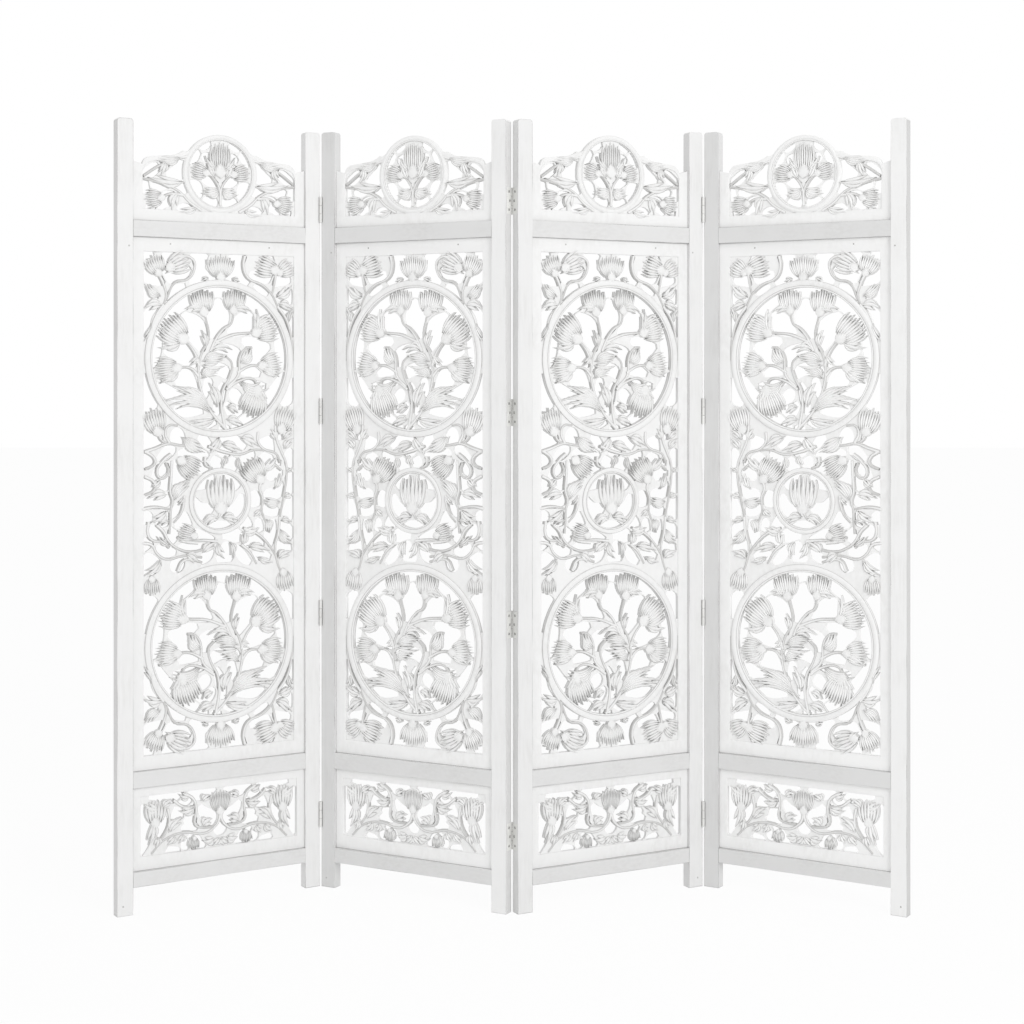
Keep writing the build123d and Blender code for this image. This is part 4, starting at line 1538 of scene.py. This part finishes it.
class JaliStageSettings(bpy.types.PropertyGroup):
    """Camera, lamps and floor."""

    floor_whiteness: bpy.props.FloatProperty(
        name="Floor whiteness",
        description=(
            "How far the floor is seen plain white instead of in its own colour and shadow"
        ),
        subtype="FACTOR",
        min=0.0,
        max=1.0,
        default=0.92,
    )

    lens: bpy.props.FloatProperty(
        name="Lens",
        description="Focal length on a 36 mm sensor, in millimetres",
        min=20.0,
        max=200.0,
        default=64.34,
    )
    camera_distance: bpy.props.FloatProperty(
        name="Camera distance",
        description="From the camera to the middle hinges",
        unit="LENGTH",
        default=4.231,
    )
    camera_height: bpy.props.FloatProperty(
        name="Camera height",
        description="Height of the camera over the floor",
        unit="LENGTH",
        default=1.223,
    )
    picture_shift: bpy.props.FloatProperty(
        name="Picture shift",
        description="Upright shift of the lens, as a share of the picture",
        default=-0.1266,
    )
    world_strength: bpy.props.FloatProperty(
        name="Room light",
        description="Strength of the even light of the room",
        min=0.0,
        default=0.78,
    )
    key_power: bpy.props.FloatProperty(
        name="Key lamp",
        description="Power of the large lamp in front on the right",
        unit="POWER",
        default=125.0,
    )
    floor_colour: bpy.props.FloatVectorProperty(
        name="Floor",
        description="Colour of the floor",
        subtype="COLOR",
        size=3,
        min=0.0,
        max=1.0,
        default=(0.95, 0.95, 0.95),
    )


# The operators, one for each kind of piece


class JALI_OT_main_boards(bpy.types.Operator):
    """Carve the main boards, the pierced jali of each panel"""

    bl_idname = "jali.main_boards"
    bl_label = "Carve Main Boards"

    def execute(self, context):
        boards_from(main_board_pattern(), "main_board", MAIN_CENTRE * MM)
        return {"FINISHED"}


class JALI_OT_lower_boards(bpy.types.Operator):
    """Carve the lower boards, with a lotus and scrolls"""

    bl_idname = "jali.lower_boards"
    bl_label = "Carve Lower Boards"

    def execute(self, context):
        boards_from(lower_board_pattern(), "lower_board", LOWER_BASE * MM)
        return {"FINISHED"}


class JALI_OT_crests(bpy.types.Operator):
    """Carve the crests, with a tulip in a ring"""

    bl_idname = "jali.crests"
    bl_label = "Carve Crests"

    def execute(self, context):
        boards_from(crest_board_pattern(), "crest_board", CREST_BASE * MM)
        return {"FINISHED"}


class JALI_OT_frame_paint(bpy.types.Operator):
    """Paint the stiles and rails, with the grain running along each, lighter or darker per stile
    and per panel with painted light and shade, and with painted shade in their joints
    """

    bl_idname = "jali.frame_paint"
    bl_label = "Paint Stiles and Rails"

    def execute(self, context):
        # One colour for the painted shade in the joints and on some sides, and for the worn paint
        # on the arrises
        shade_and_wear_colour = context.scene.jali_paint.joint_shade_and_wear_colour
        for number in PANELS:
            for side, shade in zip(("left", "right"), STILE_SHADES[number]):
                title = f"Painted {side} stile {number}"
                # The free sides of some stiles get painted shade
                side_shade = None
                if (number, side) in PAINTED_SIDE_SHADES:
                    outward = panel_axes(number)[0] * (1 if side == "right" else -1)
                    side_shade = (outward, PAINTED_SIDE_SHADES[number, side])
                paint = painted_wood(
                    title, STILE_GRAIN, shade, shade_and_wear_colour, JOINT_SHADE, ARRIS_RUB, side_shade
                )
                wear_material(f"panel_{number}_{side}_stile", paint)
            title = f"Painted rails {number}"
            shade = RAIL_SHADES[number]
            paint = painted_wood(title, RAIL_GRAIN, shade, shade_and_wear_colour, JOINT_SHADE, ARRIS_RUB)
            for rail in ("top", "middle", "bottom"):
                wear_material(f"panel_{number}_{rail}_rail", paint)
        return {"FINISHED"}


class JALI_OT_hinges(bpy.types.Operator):
    """Finish the butt hinges between the panels"""

    bl_idname = "jali.hinges"
    bl_label = "Fit Hinges"

    def execute(self, context):
        steel = hinge_metal("Hinge steel")
        for (left, right), (leaf_way, pin_carrier) in HINGE_LINES.items():
            for number in (left, right):
                hinge_leaves(left, right, number, leaf_way, number == pin_carrier, steel)
        return {"FINISHED"}


class JALI_OT_nails(bpy.types.Operator):
    """Drive the brads of the boards and the nails of the stiles"""

    bl_idname = "jali.nails"
    bl_label = "Drive Nails"

    def execute(self, context):
        steel = bpy.data.materials["Hinge steel"]
        for number in PANELS:
            nail_heads(number, steel)
        return {"FINISHED"}


class JALI_OT_stage(bpy.types.Operator):
    """Set up the floor, the camera, the lamps and the white room"""

    bl_idname = "jali.stage"
    bl_label = "Set Up Stage"

    def execute(self, context):
        settings = context.scene.jali_stage
        add_floor(settings)
        add_lamp("Key lamp", (3.6, -5.2, 3.4), 3.5, settings.key_power)
        light_room(settings.world_strength)
        add_camera(settings)
        context.scene.view_settings.view_transform = "Standard"
        return {"FINISHED"}


def wear_material(node, material):
    """Give a frame node a material."""
    slots = bpy.data.objects[node].data.materials
    slots.clear()
    slots.append(material)


def carved_paint(number):
    """Return the paint of one panel's carved boards, made once: lighter or darker per panel with
    painted light and shade, and with painted shade in the carving's cuts.
    """
    title = f"Painted carving {number}"
    shade_and_wear_colour = bpy.context.scene.jali_paint.line_shade_and_wear_colour
    return bpy.data.materials.get(title) or painted_wood(
        title, CARVING_GRAIN, BOARD_SHADES[number], shade_and_wear_colour, CARVING_SHADE
    )


def seen_share(nodes, links):
    """Add the share of rays that see a surface straight, in a reflection or through glass."""
    seen = nodes.new("ShaderNodeLightPath").outputs
    share = number_node(nodes, links, "MAXIMUM", seen["Is Camera Ray"], seen["Is Glossy Ray"])
    return number_node(nodes, links, "MAXIMUM", share, seen["Is Transmission Ray"])


def add_floor(settings):
    """Lay a wide pale floor that stays almost white and keeps a soft shadow."""
    bpy.ops.object.select_all(action="DESELECT")
    bpy.ops.mesh.primitive_plane_add(size=60.0)
    floor = bpy.context.object
    floor.name = "floor"
    material, nodes, links, shader = new_material("White floor")
    shader.inputs["Base Color"].default_value = (*settings.floor_colour, 1.0)
    shader.inputs["Roughness"].default_value = 0.9
    white = nodes.new("ShaderNodeEmission")
    white.inputs["Strength"].default_value = 1.0
    share = seen_share(nodes, links)
    share = number_node(nodes, links, "MULTIPLY", share, settings.floor_whiteness)
    both = nodes.new("ShaderNodeMixShader")
    links.new(share, both.inputs[0])
    links.new(shader.outputs[0], both.inputs[1])
    links.new(white.outputs[0], both.inputs[2])
    links.new(both.outputs[0], nodes["Material Output"].inputs["Surface"])
    floor.data.materials.append(material)


def add_lamp(name, place, size, power):
    """Hang a large soft lamp that faces the middle of the screen."""
    bpy.ops.object.light_add(type="AREA", location=place)
    lamp = bpy.context.object
    lamp.name = name
    lamp.data.shape = "DISK"
    lamp.data.size = size
    lamp.data.energy = power
    lamp.rotation_euler = (Vector((0, 0, 0.9)) - Vector(place)).to_track_quat("-Z", "Y").to_euler()


def light_room(strength):
    """Light the room evenly, and show it white behind the screen."""
    world = bpy.data.worlds.new("White room")
    bpy.context.scene.world = world
    world.use_nodes = True
    nodes, links = world.node_tree.nodes, world.node_tree.links
    even = nodes["Background"]
    even.inputs["Color"].default_value = (1.0, 1.0, 1.0, 1.0)
    even.inputs["Strength"].default_value = strength
    white = nodes.new("ShaderNodeBackground")
    white.inputs["Color"].default_value = (1.0, 1.0, 1.0, 1.0)
    white.inputs["Strength"].default_value = 1.0
    share = seen_share(nodes, links)
    both = nodes.new("ShaderNodeMixShader")
    links.new(share, both.inputs[0])
    links.new(even.outputs[0], both.inputs[1])
    links.new(white.outputs[0], both.inputs[2])
    links.new(both.outputs[0], nodes["World Output"].inputs["Surface"])


def add_camera(settings):
    """Stand the camera in front of the middle hinges, level, with its lens shifted down."""
    bpy.ops.object.camera_add(
        location=(0.0, pin_place(2, 3).y - settings.camera_distance, settings.camera_height),
        rotation=(math.radians(90), 0, 0),
    )
    camera = bpy.context.object
    camera.name = "Camera"
    camera.data.sensor_width = 36.0
    camera.data.lens = settings.lens
    camera.data.shift_y = settings.picture_shift
    camera.data.clip_end = 200.0
    bpy.context.scene.camera = camera


class JALI_PT_screen(bpy.types.Panel):
    """Lists the screen's settings and the operators that build it"""

    bl_idname = "JALI_PT_screen"
    bl_label = "Jali Screen"
    bl_space_type = "VIEW_3D"
    bl_region_type = "UI"
    bl_category = "Jali Screen"

    def draw(self, context):
        layout = self.layout
        for operator in OPERATORS:
            layout.operator(operator.bl_idname)
        stored = context.scene
        for settings in (stored.jali_paint, stored.jali_metal, stored.jali_stage):
            column = layout.column()
            for name in settings.bl_rna.properties.keys():
                if name not in ("rna_type", "name"):
                    column.prop(settings, name)


OPERATORS = (
    JALI_OT_frame_paint,
    JALI_OT_main_boards,
    JALI_OT_lower_boards,
    JALI_OT_crests,
    JALI_OT_hinges,
    JALI_OT_nails,
    JALI_OT_stage,
)
CLASSES = (JaliPaintSettings, JaliMetalSettings, JaliStageSettings, *OPERATORS, JALI_PT_screen)


def register():
    """Register the settings, the operators and the panel."""
    for added in CLASSES:
        bpy.utils.register_class(added)
    bpy.types.Scene.jali_paint = bpy.props.PointerProperty(type=JaliPaintSettings)
    bpy.types.Scene.jali_metal = bpy.props.PointerProperty(type=JaliMetalSettings)
    bpy.types.Scene.jali_stage = bpy.props.PointerProperty(type=JaliStageSettings)


def unregister():
    """Take all of them away again."""
    del bpy.types.Scene.jali_stage
    del bpy.types.Scene.jali_metal
    del bpy.types.Scene.jali_paint
    for added in reversed(CLASSES):
        bpy.utils.unregister_class(added)


def main():
    """Build the whole screen."""
    register()
    brushed_grain_group()
    dark_lines_group()
    edge_lines_group()
    side_shade_group()
    bpy.ops.jali.frame_paint()
    bpy.ops.jali.main_boards()
    bpy.ops.jali.lower_boards()
    bpy.ops.jali.crests()
    bpy.ops.jali.hinges()
    bpy.ops.jali.nails()
    bpy.ops.jali.stage()
    bpy.context.view_layer.update()


if __name__ == "__main__":
    main()
